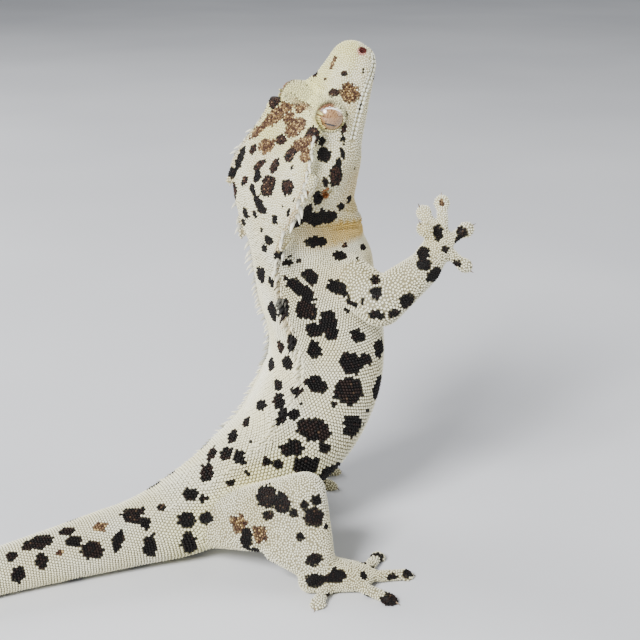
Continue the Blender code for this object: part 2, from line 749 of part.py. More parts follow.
def build_limbs():
    """Both arms and both legs."""
    made = []
    for limb in (ARM_RIGHT, ARM_LEFT):
        made += limb_segments(limb, "upper_arm_" + limb.side, "forearm_" + limb.side)
        made.append(foot("hand_" + limb.side, limb))
    for limb in (LEG_RIGHT, LEG_LEFT):
        made += limb_segments(limb, "thigh_" + limb.side, "shank_" + limb.side)
        made.append(foot("foot_" + limb.side, limb))
        stand_flat(made[-1])
    return made


def finish(target, colour, roughness):
    """Give the target a plain material of its own and smooth shading."""
    material = bpy.data.materials.new(target.name)
    material.use_nodes = True
    surface = material.node_tree.nodes["Principled BSDF"]
    surface.inputs["Base Color"].default_value = (*colour, 1.0)
    surface.inputs["Roughness"].default_value = roughness
    surface.inputs["Metallic"].default_value = 0.0
    target.data.materials.clear()
    target.data.materials.append(material)
    target.data.shade_smooth()
    target.data.set_sharp_from_angle(angle=math.radians(50))


def main():
    """Build the gecko."""
    for old in list(bpy.data.objects):
        bpy.data.objects.remove(old)
    for piece in build_body() + build_limbs():
        finish(piece, SKIN, 0.55)
    for eye in build_eyes():
        finish(eye, IRIS, 0.2)


main()
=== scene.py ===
"""Crested gecko rearing up on its hind legs: skin, scales, crest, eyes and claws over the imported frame.

Sizes are in millimetres in a design frame whose floor is z = 0, the gecko facing +X with its right side
towards -Y. MODEL_CENTRE is the design point at the frame's origin, and MM turns millimetres into metres.
"""

from __future__ import annotations

import json
import logging
import math
from dataclasses import dataclass, field
from enum import Enum
from typing import NamedTuple, Sequence

import bmesh
import bpy
import numpy as np
from bpy.types import Material, Mesh, NodeSocket, Object
from mathutils import Matrix, Vector
from mathutils.bvhtree import BVHTree
from mathutils.kdtree import KDTree

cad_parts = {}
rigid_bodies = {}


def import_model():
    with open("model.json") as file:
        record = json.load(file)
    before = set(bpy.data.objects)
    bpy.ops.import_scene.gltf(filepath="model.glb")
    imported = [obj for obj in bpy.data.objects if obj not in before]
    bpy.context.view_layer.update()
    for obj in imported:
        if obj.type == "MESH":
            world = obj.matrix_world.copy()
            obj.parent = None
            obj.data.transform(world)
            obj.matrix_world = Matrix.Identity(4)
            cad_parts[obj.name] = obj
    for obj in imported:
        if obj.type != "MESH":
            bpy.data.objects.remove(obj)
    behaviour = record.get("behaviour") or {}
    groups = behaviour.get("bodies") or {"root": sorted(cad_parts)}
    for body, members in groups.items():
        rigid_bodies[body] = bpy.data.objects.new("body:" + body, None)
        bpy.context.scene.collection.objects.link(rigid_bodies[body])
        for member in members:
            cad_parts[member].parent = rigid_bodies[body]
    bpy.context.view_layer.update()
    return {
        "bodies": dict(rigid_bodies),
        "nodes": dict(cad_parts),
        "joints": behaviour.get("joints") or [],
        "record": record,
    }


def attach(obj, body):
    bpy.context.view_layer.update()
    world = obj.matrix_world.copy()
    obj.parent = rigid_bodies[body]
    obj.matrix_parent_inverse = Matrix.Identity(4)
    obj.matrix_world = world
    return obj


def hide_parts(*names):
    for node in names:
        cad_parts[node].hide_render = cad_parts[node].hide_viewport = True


LOG = logging.getLogger("gecko")

MM = 0.001
MODEL_CENTRE = np.array((-49.3, -2.1, 0.0))
LEFT = np.array((0.0, 1.0, 0.0))
RIGHT_SIDE, LEFT_SIDE = -1, 1
SIDES = (LEFT_SIDE, RIGHT_SIDE)

# How many corners a cross-section has, and the number of the one at the throat
CORNERS, THROAT = 10, 5

# The size of a scale's patch on its map, the gap between animal and floor, and a distance out of reach
PATCH = 0.003
FLOOR_GAP = 0.02
FAR_AWAY = 99.0

Array = np.ndarray
Colour = tuple[int, int, int]
Place = tuple[float, float, float]


def linear(red: int, green: int, blue: int) -> Array:
    """A screen colour, 0 to 255, as linear light."""
    share = np.array((red, green, blue)) / 255.0
    return np.where(share <= 0.04045, share / 12.92, ((share + 0.055) / 1.055) ** 2.4)


def unit(vectors: Array) -> Array:
    """Vectors made one long."""
    return vectors / np.maximum(np.linalg.norm(vectors, axis=-1, keepdims=True), 1e-9)


def lengths(vectors: Array) -> Array:
    """How long each vector is."""
    return np.linalg.norm(vectors, axis=-1)


def smooth_share(value: Array) -> Array:
    """A value held between 0 and 1, eased at both ends."""
    held = np.clip(value, 0.0, 1.0)
    return held * held * (3.0 - 2.0 * held)


class Tone(Enum):
    """What a marking is coloured like."""

    DARK = "near black"
    BROWN = "dark with a brown heart"
    DEEP = "near black with a faint brown heart"
    TAN = "stippled tan"


BROWN, DEEP, TAN = Tone.BROWN, Tone.DEEP, Tone.TAN


class Region(Enum):
    """A length of the coat, one piece of scales each."""

    CROWN = "crown"
    FACE = "face"
    NECK = "neck"
    CHEST = "chest"
    BELLY = "belly"
    HIPS = "hips"
    TAIL_FRONT = "tail_front"
    TAIL_REAR = "tail_rear"
    ARM_RIGHT = "arm_right"
    ARM_LEFT = "arm_left"
    LEG_RIGHT = "leg_right"
    LEG_LEFT = "leg_left"


class Section(NamedTuple):
    """A cross-section of tail or torso: an oval whose upper corners carry the crests.

    Attributes:
        place: Where on the animal it lies, in words.
        centre: Its middle.
        flank: Half its width.
        back: From its middle up to the back.
        belly: From its middle down to the belly.
        crest: Half width and height of the crest's corner.
    """

    place: str
    centre: Place
    flank: float
    back: float
    belly: float
    crest: tuple[float, float]


class HeadSection(NamedTuple):
    """A cross-section of the head. Pairs are half width and height from the head's axis.

    Attributes:
        place: Where on the head it lies, in words.
        behind: How far behind the snout.
        top: Height of the crown.
        crest: The corner of the crest or brow.
        cheek: The widest corner.
        jaw: The corner of the jaw.
        throat: Height of the throat.
    """

    place: str
    behind: float
    top: float
    crest: tuple[float, float]
    cheek: tuple[float, float]
    jaw: tuple[float, float]
    throat: float


class Toe(NamedTuple):
    """One toe.

    Attributes:
        knuckle: The knuckle that it passes.
        pad: The middle of its pad.
        sole: The way its sole faces.
    """

    knuckle: Place
    pad: Place
    sole: Place = (0.0, 0.0, -1.0)

    def axes(self) -> tuple[Array, Array, Array, Array]:
        """The middle of the pad, the way ahead along the toe, the way across it, and the way its sole faces."""
        pad = np.array(self.pad)
        ahead = unit(pad - np.array(self.knuckle))
        sole = np.array(self.sole)
        sole = unit(sole - ahead * (sole @ ahead))
        return pad, ahead, np.cross(sole, ahead), sole


class Limb(NamedTuple):
    """One limb. Balls are a middle and a radius each.

    Attributes:
        region: Its length of the coat.
        root, bend, wrist: Its joints, from the body out.
        upper, lower, palm: The balls that its segments and its palm are hulls over.
        toes: Its toes.
    """

    region: Region
    root: Place
    bend: Place
    wrist: Place
    upper: list
    lower: list
    palm: list
    toes: list[Toe]


class Wash(NamedTuple):
    """A soft change of the ground colour along a length of the body.

    Attributes:
        start, end, edge: Where it lies behind the snout, and over how much it fades at both ends.
        corner, run: The corner number where it starts, and over how much it grows, upwards if below nought.
        strength, sway: How strong it is, and how far that changes with the slow noise.
        tone: Which of the markings' colours it is.
    """

    start: float
    end: float
    edge: float
    corner: float
    run: float
    strength: float
    sway: float
    tone: str


class Spot(NamedTuple):
    """A marking that the camera sees.

    Attributes:
        across, down: Its middle in the 640-wide view.
        width, height: Its size there.
        lean: How far it is turned, in degrees.
        tone: What it is coloured like.
    """

    across: float
    down: float
    width: float
    height: float
    lean: float = 0.0
    tone: Tone = Tone.DARK


BODY = [
    Section("tail tip, flattened", (-121.5, -15.2, 1.0), 1.5, 0.7, 1.1, (0.8, 0.5)),
    Section("tail tip pad", (-118.0, -13.2, 1.3), 2.0, 1.1, 1.4, (1.3, 0.8)),
    Section("tail before its tip", (-111.0, -9.6, 1.8), 1.9, 1.6, 1.9, (1.3, 1.2)),
    Section("tail, last quarter", (-100.0, -5.4, 2.6), 2.6, 2.4, 2.7, (1.8, 1.8)),
    Section("tail, third quarter", (-86.0, -2.0, 3.3), 3.1, 3.2, 3.4, (2.1, 2.5)),
    Section("tail, middle", (-72.0, -0.4, 4.1), 3.8, 4.0, 4.2, (2.6, 3.1)),
    Section("tail, second quarter", (-62.0, 0.0, 4.7), 4.3, 4.6, 4.8, (3.0, 3.6)),
    Section("tail, first quarter", (-54.0, 0.0, 5.3), 4.8, 5.2, 5.4, (3.4, 4.0)),
    Section("tail behind the vent", (-46.4, 0.0, 5.9), 5.5, 5.7, 6.0, (3.8, 4.5)),
    Section("vent bulge", (-38.4, 0.0, 6.5), 6.4, 6.3, 6.65, (4.3, 5.0)),
    Section("vent", (-31.3, 0.0, 7.5), 7.8, 7.4, 7.65, (5.2, 6.0)),
    Section("hips", (-22.9, 0.0, 10.1), 8.8, 8.7, 8.7, (6.0, 7.1)),
    Section("loin", (-15.4, 0.0, 14.0), 9.6, 9.7, 9.4, (6.6, 8.0)),
    Section("lower belly", (-7.7, 0.0, 19.0), 10.5, 10.7, 10.9, (7.1, 8.9)),
    Section("belly", (-3.1, 0.0, 24.8), 11.1, 11.4, 11.8, (7.6, 9.3)),
    Section("upper belly", (0.0, 0.0, 31.4), 11.2, 11.3, 12.0, (7.8, 9.2)),
    Section("lower ribs", (1.3, 0.0, 37.5), 10.8, 10.9, 11.6, (7.4, 9.0)),
    Section("upper ribs", (1.3, 0.0, 43.8), 10.2, 11.0, 11.2, (6.4, 9.8)),
    Section("chest", (0.0, 0.0, 50.2), 9.8, 11.4, 11.2, (6.2, 10.4)),
    Section("shoulders", (-1.5, 0.0, 55.4), 9.6, 10.8, 12.0, (5.2, 10.2)),
    Section("neck", (-2.9, 0.0, 60.6), 9.0, 10.1, 11.7, (5.6, 9.5)),
]

HEAD = [
    HeadSection("nape under the flaps", 33.0, 10.2, (9.6, 9.4), (9.2, 1.5), (7.4, -8.8), -11.7),
    HeadSection("back of the head", 30.0, 10.4, (11.9, 9.6), (9.8, 2.2), (7.4, -7.2), -10.4),
    HeadSection("widest, at the ears", 27.0, 10.2, (12.2, 9.7), (10.2, 2.4), (7.4, -5.2), -8.4),
    HeadSection("jaw corner", 23.5, 9.5, (11.3, 9.3), (10.2, 2.2), (7.2, -4.9), -7.6),
    HeadSection("behind the eyes", 20.0, 8.6, (10.1, 8.7), (9.6, 1.8), (7.2, -4.6), -7.0),
    HeadSection("back of the eyes", 17.0, 7.7, (8.8, 8.4), (8.7, 1.4), (6.8, -3.9), -6.0),
    HeadSection("eyes", 14.5, 6.8, (8.7, 8.0), (8.1, 0.8), (6.4, -3.8), -5.5),
    HeadSection("brows", 12.5, 5.8, (7.6, 7.0), (7.5, 0.4), (6.0, -3.8), -5.2),
    HeadSection("front of the eyes", 10.4, 4.7, (5.6, 4.7), (6.9, 0.0), (5.5, -3.8), -5.1),
    HeadSection("muzzle", 8.0, 3.7, (4.5, 3.2), (6.2, -0.5), (4.9, -3.9), -5.0),
    HeadSection("lips", 4.5, 2.6, (3.7, 2.0), (5.2, -1.1), (4.0, -4.1), -4.9),
    HeadSection("nostrils", 2.5, 2.1, (3.2, 1.6), (4.6, -1.2), (3.5, -4.0), -4.7),
    HeadSection("nose", 1.1, 1.5, (2.5, 1.0), (3.8, -1.2), (2.8, -3.5), -4.1),
    HeadSection("nose tip", 0.35, 0.7, (1.6, 0.3), (2.6, -1.2), (1.8, -2.8), -3.2),
    HeadSection("nose end", 0.0, -0.3, (0.6, -0.5), (1.0, -1.2), (0.7, -1.9), -2.1),
]

LIMBS = [
    Limb(
        region=Region.ARM_RIGHT,
        root=(2.0, -6.0, 54.5),
        bend=(5.2, -15.4, 51.4),
        wrist=(13.3, -17.0, 57.5),
        upper=[((2.0, -6.0, 54.5), 4.7), ((5.2, -15.4, 51.4), 4.4)],
        lower=[((5.2, -15.4, 51.4), 4.4), ((13.3, -17.0, 57.5), 3.2)],
        palm=[((13.3, -17.0, 57.5), 3.1), ((16.0, -17.0, 60.4), 2.4)],
        toes=[
            Toe((15.2, -16.2, 62.8), (13.8, -16.0, 64.7), (0.5, 0.8, 0.2)),
            Toe((16.4, -15.0, 64.0), (15.6, -12.4, 66.7), (0.6, 0.8, 0.1)),
            Toe((18.0, -15.4, 64.6), (19.3, -12.6, 68.3), (0.6, 0.8, -0.2)),
            Toe((19.0, -17.2, 62.6), (21.5, -17.8, 64.1), (0.5, 0.8, -0.4)),
            Toe((18.4, -18.2, 59.8), (20.4, -19.6, 57.9), (0.6, 0.7, 0.4)),
        ],
    ),
    Limb(
        region=Region.ARM_LEFT,
        root=(2.0, 6.0, 54.5),
        bend=(1.2, 16.6, 50.0),
        wrist=(9.0, 20.2, 47.4),
        upper=[((2.0, 6.0, 54.5), 4.7), ((1.2, 16.6, 50.0), 4.4)],
        lower=[((1.2, 16.6, 50.0), 4.4), ((9.0, 20.2, 47.4), 3.2)],
        palm=[((9.0, 20.2, 47.4), 3.1), ((12.0, 20.8, 46.8), 2.4)],
        toes=[
            Toe((13.2, 18.6, 48.6), (14.0, 16.6, 50.0), (0.5, -0.4, -0.8)),
            Toe((15.2, 20.0, 48.8), (17.6, 19.2, 50.4), (0.5, 0.0, -0.9)),
            Toe((16.0, 21.6, 47.6), (19.6, 22.4, 48.0), (0.1, 0.0, -1.0)),
            Toe((15.0, 22.6, 45.8), (18.0, 24.4, 44.6), (-0.3, 0.2, -0.9)),
            Toe((12.8, 23.0, 44.6), (13.6, 25.6, 42.6), (-0.2, -0.6, -0.8)),
        ],
    ),
    Limb(
        region=Region.LEG_RIGHT,
        root=(-23.5, -5.0, 9.4),
        bend=(-11.8, -18.8, 17.6),
        wrist=(-11.4, -23.4, 4.2),
        upper=[
            ((-25.5, -5.0, 8.0), 5.0),
            ((-21.0, -8.0, 10.2), 4.6),
            ((-16.0, -14.4, 12.6), 4.8),
            ((-11.8, -18.8, 17.6), 3.9),
            ((-19.0, -17.5, 8.6), 2.2),
        ],
        lower=[((-11.8, -18.8, 17.6), 3.9), ((-11.4, -23.4, 4.6), 3.4), ((-18.4, -19.0, 7.0), 1.9)],
        palm=[((-11.6, -23.4, 3.6), 3.2), ((-13.4, -24.2, 2.2), 2.2), ((-4.8, -25.2, 2.0), 2.2)],
        toes=[
            Toe((-8.6, -21.8, 1.0), (-9.6, -18.6, 0.5)),
            Toe((-0.6, -23.0, 1.3), (3.4, -19.4, 0.5)),
            Toe((-0.4, -27.0, 1.5), (5.0, -27.6, 0.5)),
            Toe((-4.6, -30.0, 1.3), (-1.8, -34.0, 0.5)),
            Toe((-11.8, -27.2, 1.3), (-14.2, -29.6, 0.5)),
        ],
    ),
    Limb(
        region=Region.LEG_LEFT,
        root=(-22.5, 5.0, 9.6),
        bend=(-7.0, 17.6, 15.6),
        wrist=(-0.6, 19.4, 4.2),
        upper=[
            ((-25.0, 5.0, 8.2), 5.0),
            ((-20.5, 8.0, 11.0), 5.2),
            ((-13.6, 13.4, 12.0), 4.8),
            ((-7.0, 17.6, 15.6), 3.9),
            ((-12.6, 16.4, 7.4), 2.2),
        ],
        lower=[((-7.0, 17.6, 15.6), 3.9), ((-0.6, 19.4, 4.6), 3.4), ((-10.4, 17.4, 6.4), 1.9)],
        palm=[((-0.8, 19.4, 3.6), 3.2), ((-2.8, 19.6, 2.2), 2.2), ((5.0, 19.6, 2.0), 2.2)],
        toes=[
            Toe((6.2, 15.6, 1.2), (8.4, 12.4, 0.5)),
            Toe((9.2, 18.2, 1.3), (12.2, 18.6, 0.5)),
            Toe((9.4, 22.0, 1.4), (12.4, 25.0, 0.5)),
            Toe((6.8, 24.8, 1.3), (7.6, 29.4, 0.5)),
            Toe((1.6, 23.6, 1.2), (-1.6, 26.8, 0.5)),
        ],
    ),
]

WASHES = [
    Wash(-5.0, 26.0, 6.0, 2.6, -1.2, 0.6, 0.2, "lime"),
    Wash(30.5, 39.0, 2.5, 1.6, 2.2, 1.0, 0.1, "tan"),
    Wash(19.0, 32.0, 4.0, 3.0, 1.0, 0.5, 0.0, "tan"),
    Wash(40.0, 52.0, 6.0, 2.0, 1.0, 0.2, 0.0, "tan"),
    Wash(78.0, 118.0, 8.0, 1.5, 1.0, 0.35, 0.0, "lime"),
]

# Swellings and hollows of the head: distance behind the snout, corner, radius and height
SWELLS = [
    (16.5, 1.5, 1.5, 0.3), (14.0, 1.5, 1.3, 0.4), (11.8, 1.6, 1.1, 0.35), (9.0, 1.45, 0.9, 0.2),
    (21.5, 3.0, 3.5, 0.5), (25.5, 3.9, 2.6, 0.3), (7.6, 2.4, 1.5, -0.3), (6.0, 0.0, 1.2, -0.15),
    (20.0, 0.0, 3.4, -0.35), (13.4, 0.75, 2.0, 0.28), (18.0, 2.5, 1.6, -0.25), (28.5, 2.6, 1.8, -0.35),
    (11.0, 3.6, 1.4, 0.12),
]

# Lines on the skin: distance behind the snout and corner of each stop
MOUTH_LINE = [(16.0, 3.34), (13.0, 3.3), (10.0, 3.3), (7.5, 3.36), (5.5, 3.45), (3.5, 3.6), (2.0, 3.68), (1.0, 3.72)]
EAR_SLIT = [(26.6, 2.72), (25.6, 3.08)]
THROAT_CREASES = [[(34.2, 3.3), (34.6, 4.0), (34.2, 4.6), (34.0, 5.0)], [(29.0, 3.5), (30.4, 4.2), (31.0, 5.0)]]

# Markings on the head, as the camera sees them
HEAD_SPOTS = [
    (344, 73.5, 6.5, 6.5, 0, BROWN), (315.5, 74, 7, 10, 0, BROWN), (333, 63, 3.86, 15.5, 25, TAN),
    (341, 41, 10, 2, -8), (363, 71, 2, 5), (334.5, 92.5, 11.5, 10.5, 0, BROWN), (349.5, 93, 20.6, 23.2, 25, TAN),
    (361, 107, 5, 9, 10, BROWN), (343, 138.5, 6, 6), (344, 128, 7, 11, 15, BROWN), (355, 134.5, 3, 3, 0, BROWN),
    (324.5, 155, 15.5, 15), (342.5, 154, 5, 11, -10), (338.5, 163.5, 7, 11), (336, 176, 12, 25, 8, BROWN),
    (325.5, 182, 6, 10, -15), (318, 198, 10, 13), (349, 199, 6, 9, 15), (341.5, 206.5, 9, 8), (354.6, 168, 2, 2.5),
    (312, 134, 19, 16, 35, BROWN), (321, 141, 9, 9), (302, 144, 30.9, 16.7, -10, TAN),
    (290, 155, 14, 16, 20, BROWN), (306, 155, 12.9, 16.7, 10, TAN), (296, 128, 28.3, 21.8, -15, TAN),
    (281.5, 140, 13, 11, 25, BROWN), (301, 107, 14.1, 16.7, 35, TAN), (287, 106, 25.8, 15.5, -40, TAN),
    (276, 115, 25.8, 16.7, -42, TAN), (267, 123, 15.5, 10.3, -30, TAN), (257.5, 132, 19.3, 10.3, -30, TAN),
    (267, 146, 20.6, 18, 0, TAN), (253, 149.5, 8, 11, 20, BROWN), (274, 101, 13, 17, 15, BROWN), (284, 95.5, 3, 2),
    (306, 98, 1.8, 11, 40), (288, 118, 15.5, 11.5, -30, TAN), (240, 159, 8, 28, 22), (231.5, 172.5, 11, 11),
    (259, 165, 16, 9, -30, BROWN), (275, 165.5, 9, 19, 22, BROWN), (292, 168, 4.5, 4.5),
    (245, 181, 9, 10, 0, BROWN), (257.5, 177, 9, 14, 20), (253, 190, 6, 13, -15), (259.5, 205, 9, 26, -30),
    (268, 186, 18, 23, 20, BROWN), (287.5, 187.5, 15, 18, -30, BROWN), (234.5, 191, 8, 17, 0, BROWN),
    (294, 200, 2.5, 2.5), (283, 206, 3, 3), (307, 193, 3.86, 5.15, 0, TAN), (311, 99.5, 2.2, 1.6),
    (314.5, 99.5, 2, 1.6), (322, 98.5, 2.2, 1.6), (315, 111, 2, 2.4), (345.5, 114.5, 4, 5.4, -20, BROWN),
    (325, 79.5, 3, 4, 0, BROWN), (344.5, 144.5, 2, 2),
]

# Markings on the neck, the collar behind the jaw among them
NECK_SPOTS = [
    (307, 212, 9, 17, 25), (315, 219, 22, 13, 8), (328, 217, 20, 12, -22), (322, 212, 6, 10),
    (295, 223, 17, 8, -25), (238, 213, 8, 11, 0, BROWN), (246, 214, 7, 12, -20), (255, 214, 5, 9, -30),
    (244, 222, 5, 8, -20), (275, 219.5, 9, 9, 10), (289, 213, 5, 10, 10), (262, 230, 4, 5), (269, 240, 12, 11, 10),
    (264.5, 248, 9, 9), (316, 241.5, 22, 11.5, -4), (344.5, 245.5, 7, 6, 0, BROWN), (362.5, 247, 9, 7.5, -10),
    (339, 255, 16, 9.5, 5), (357, 258.5, 3, 3), (277.5, 257, 16, 11, -18), (288, 262.5, 12, 6.5),
    (299, 260.5, 6, 3.5), (290, 255.5, 5, 3),
]

# Markings on the flank and the back, from the shoulders down to the hips
TORSO_SPOTS = [
    (261.5, 274.5, 13, 16), (273, 283, 7, 17, -35), (299, 288, 38, 13.5, 35), (306.5, 310, 22, 20, 40, DEEP),
    (328, 320, 20, 22, 0), (332, 333, 15, 14, 30), (314.5, 330, 17, 14.5, 10), (310, 276, 20, 13, 38),
    (337, 287, 18, 16, 20), (345, 294, 8, 8), (347.5, 309, 9, 7, 30), (352, 303, 15, 5.5, 35), (363, 300.5, 4.5, 9),
    (375, 280, 8, 12, 0, DEEP), (376.5, 292.5, 13, 13), (377, 315, 16, 9.5, 10), (394.5, 313, 12, 8, -30, DEEP),
    (407, 301, 17, 15, -20), (273, 311, 10, 21, -10), (283.5, 306.5, 12, 17, -10), (281, 346, 8, 14, 0, DEEP),
    (292, 341, 9, 20, 10), (288, 362.5, 12, 16), (272, 364, 8, 13), (314, 349.5, 17.5, 16, 20),
    (351, 364, 26, 21, 35), (365, 359, 14, 14), (357.5, 336, 18.5, 13.5, 20), (378.5, 347.5, 13, 19),
    (316, 384, 22, 16, 18), (297, 389.5, 12, 11), (278.5, 385, 9, 12), (279.5, 401, 12, 17),
    (349.5, 391, 31, 28, 15, DEEP), (334, 405, 6, 6.5), (377, 387, 9, 27, 8), (353, 425.5, 24, 23, -20),
    (314, 430, 36, 23, 10, DEEP), (324.5, 448, 12, 11), (294.5, 415, 12, 12), (283, 415, 9, 20, 20),
    (293, 448, 25, 17, -10), (307, 465, 28, 20, 0), (331, 471.5, 33, 17, -22), (362.5, 446, 8, 16, 25),
    (266.5, 461.5, 10, 10.5), (278, 464, 10.5, 8), (262, 405.5, 13.5, 11), (247, 422, 10, 10),
    (233.5, 436, 10, 15, 15), (227, 453.5, 14, 14, 0, DEEP), (240, 458, 14, 15), (250, 442, 3, 3), (247, 473, 6, 4),
    (206.5, 472.5, 15, 18, -10, DEEP), (212, 454, 9, 15, 15, DEEP), (231, 482.5, 9, 7.5), (190.5, 494, 16, 12, -10),
    (203.5, 498.5, 10, 6.5), (161.5, 507, 8, 8, 0, DEEP), (302, 404, 3, 3), (367, 410, 3, 4), (258, 430, 2.5, 2.5),
]

# Markings on the tail
TAIL_SPOTS = [
    (186.5, 519, 17.2, 16.1), (206.5, 519, 15.5, 12.6), (189, 543, 14.9, 26.4), (150, 546.5, 13.8, 25.3),
    (145, 523.5, 10.3, 12.6), (133, 515, 21.8, 16.1, -12, DEEP), (118, 541, 11.5, 23, 15),
    (92, 550, 23, 17.2, 0, DEEP), (74, 541, 14.9, 12.6), (42, 561, 11.5, 16.1, 0, DEEP),
    (38, 543.5, 31, 11.5, -12, DEEP), (18, 575, 13.8, 14.9), (60, 553, 7.93, 7.93, 0, TAN),
    (100, 527, 13.2, 9.26, -10, TAN), (66, 532, 16.1, 6.9, -10, DEEP), (12, 556, 13.8, 8.05, -10, DEEP),
]

# Markings on the near limbs
LIMB_SPOTS = [
    (266.5, 497, 20.7, 23.5, 0, DEEP), (283, 503.5, 17.9, 23.5, -10, DEEP), (268.5, 515, 12.3, 11.2, 0, DEEP),
    (238.5, 523.5, 18, 20.6, 0, TAN), (259.5, 534, 18, 19.3, 0, TAN), (246, 539.5, 13.4, 23.5, 10),
    (253.5, 549.5, 13.4, 6.72), (231, 549.5, 11.2, 6.72), (293.5, 513, 11.2, 8.96), (304, 505, 10.1, 10.1),
    (316.5, 501, 12.3, 11.2), (314, 517.5, 20.2, 20.2, 0, DEEP), (326, 526.5, 5.6, 5.6), (301, 537, 8.96, 10.1),
    (314, 560, 16.8, 12.3, -10), (315, 580.5, 20.2, 14.6), (335, 577, 24.6, 13.4, -10), (334.5, 570, 6.72, 6.72),
    (363.5, 576, 7.84, 7.84), (392, 577, 11.2, 6.72), (408, 573.5, 10.1, 7.84), (315.5, 594.5, 11.2, 4.48),
    (328, 594.5, 6.72, 4.48, 0, DEEP), (402, 262.5, 11.2, 7.84), (423, 253, 13.4, 16.8, -10),
    (424, 265, 15.7, 12.3), (434.5, 275, 19, 13.4, -30), (446, 270, 7.84, 7.84), (438, 232.5, 10.1, 17.9, -5),
    (457, 263.5, 10.1, 6.72), (445, 249, 7.84, 8.96, 0, DEEP), (462, 232, 11.2, 12.3, -30, DEEP),
    (423, 222, 7.84, 6.72, 0, DEEP), (442, 203, 6.44, 9.02, 0, TAN), (458, 240, 8.96, 6.72, -30),
]


def along(values: Array, place: Array) -> Array:
    """Catmull-Rom values at places counted in steps along the rows of an array.

    Args:
        values: One row for each step.
        place: Places, from 0 to the number of rows less one.

    Returns:
        One row for each place.
    """
    rows = np.concatenate([[2 * values[0] - values[1]], values, [2 * values[-1] - values[-2]]])
    first = np.clip(np.floor(place).astype(int), 0, len(values) - 2)
    return between(rows[first], rows[first + 1], rows[first + 2], rows[first + 3], place - first)


def between(before: Array, start: Array, end: Array, after: Array, share: Array) -> Array:
    """Catmull-Rom values a share of the way from start to end.

    Args:
        before: Values one step before start.
        start: Values at share 0.
        end: Values at share 1.
        after: Values one step after end.
        share: How far along each value lies.

    Returns:
        The values there.
    """
    share = share.reshape(share.shape + (1,) * (start.ndim - share.ndim))
    square = (2 * before - 5 * start + 4 * end - after) * share**2
    cube = (3 * start - before - 3 * end + after) * share**3
    return (2 * start + (end - before) * share + square + cube) * 0.5


class Rings(NamedTuple):
    """Cross-sections along the body.

    Attributes:
        centre: Their middles.
        ahead, up, side: Their axes.
        shape: The ten corners of each outline, across and up.
    """

    centre: Array
    ahead: Array
    up: Array
    side: Array
    shape: Array


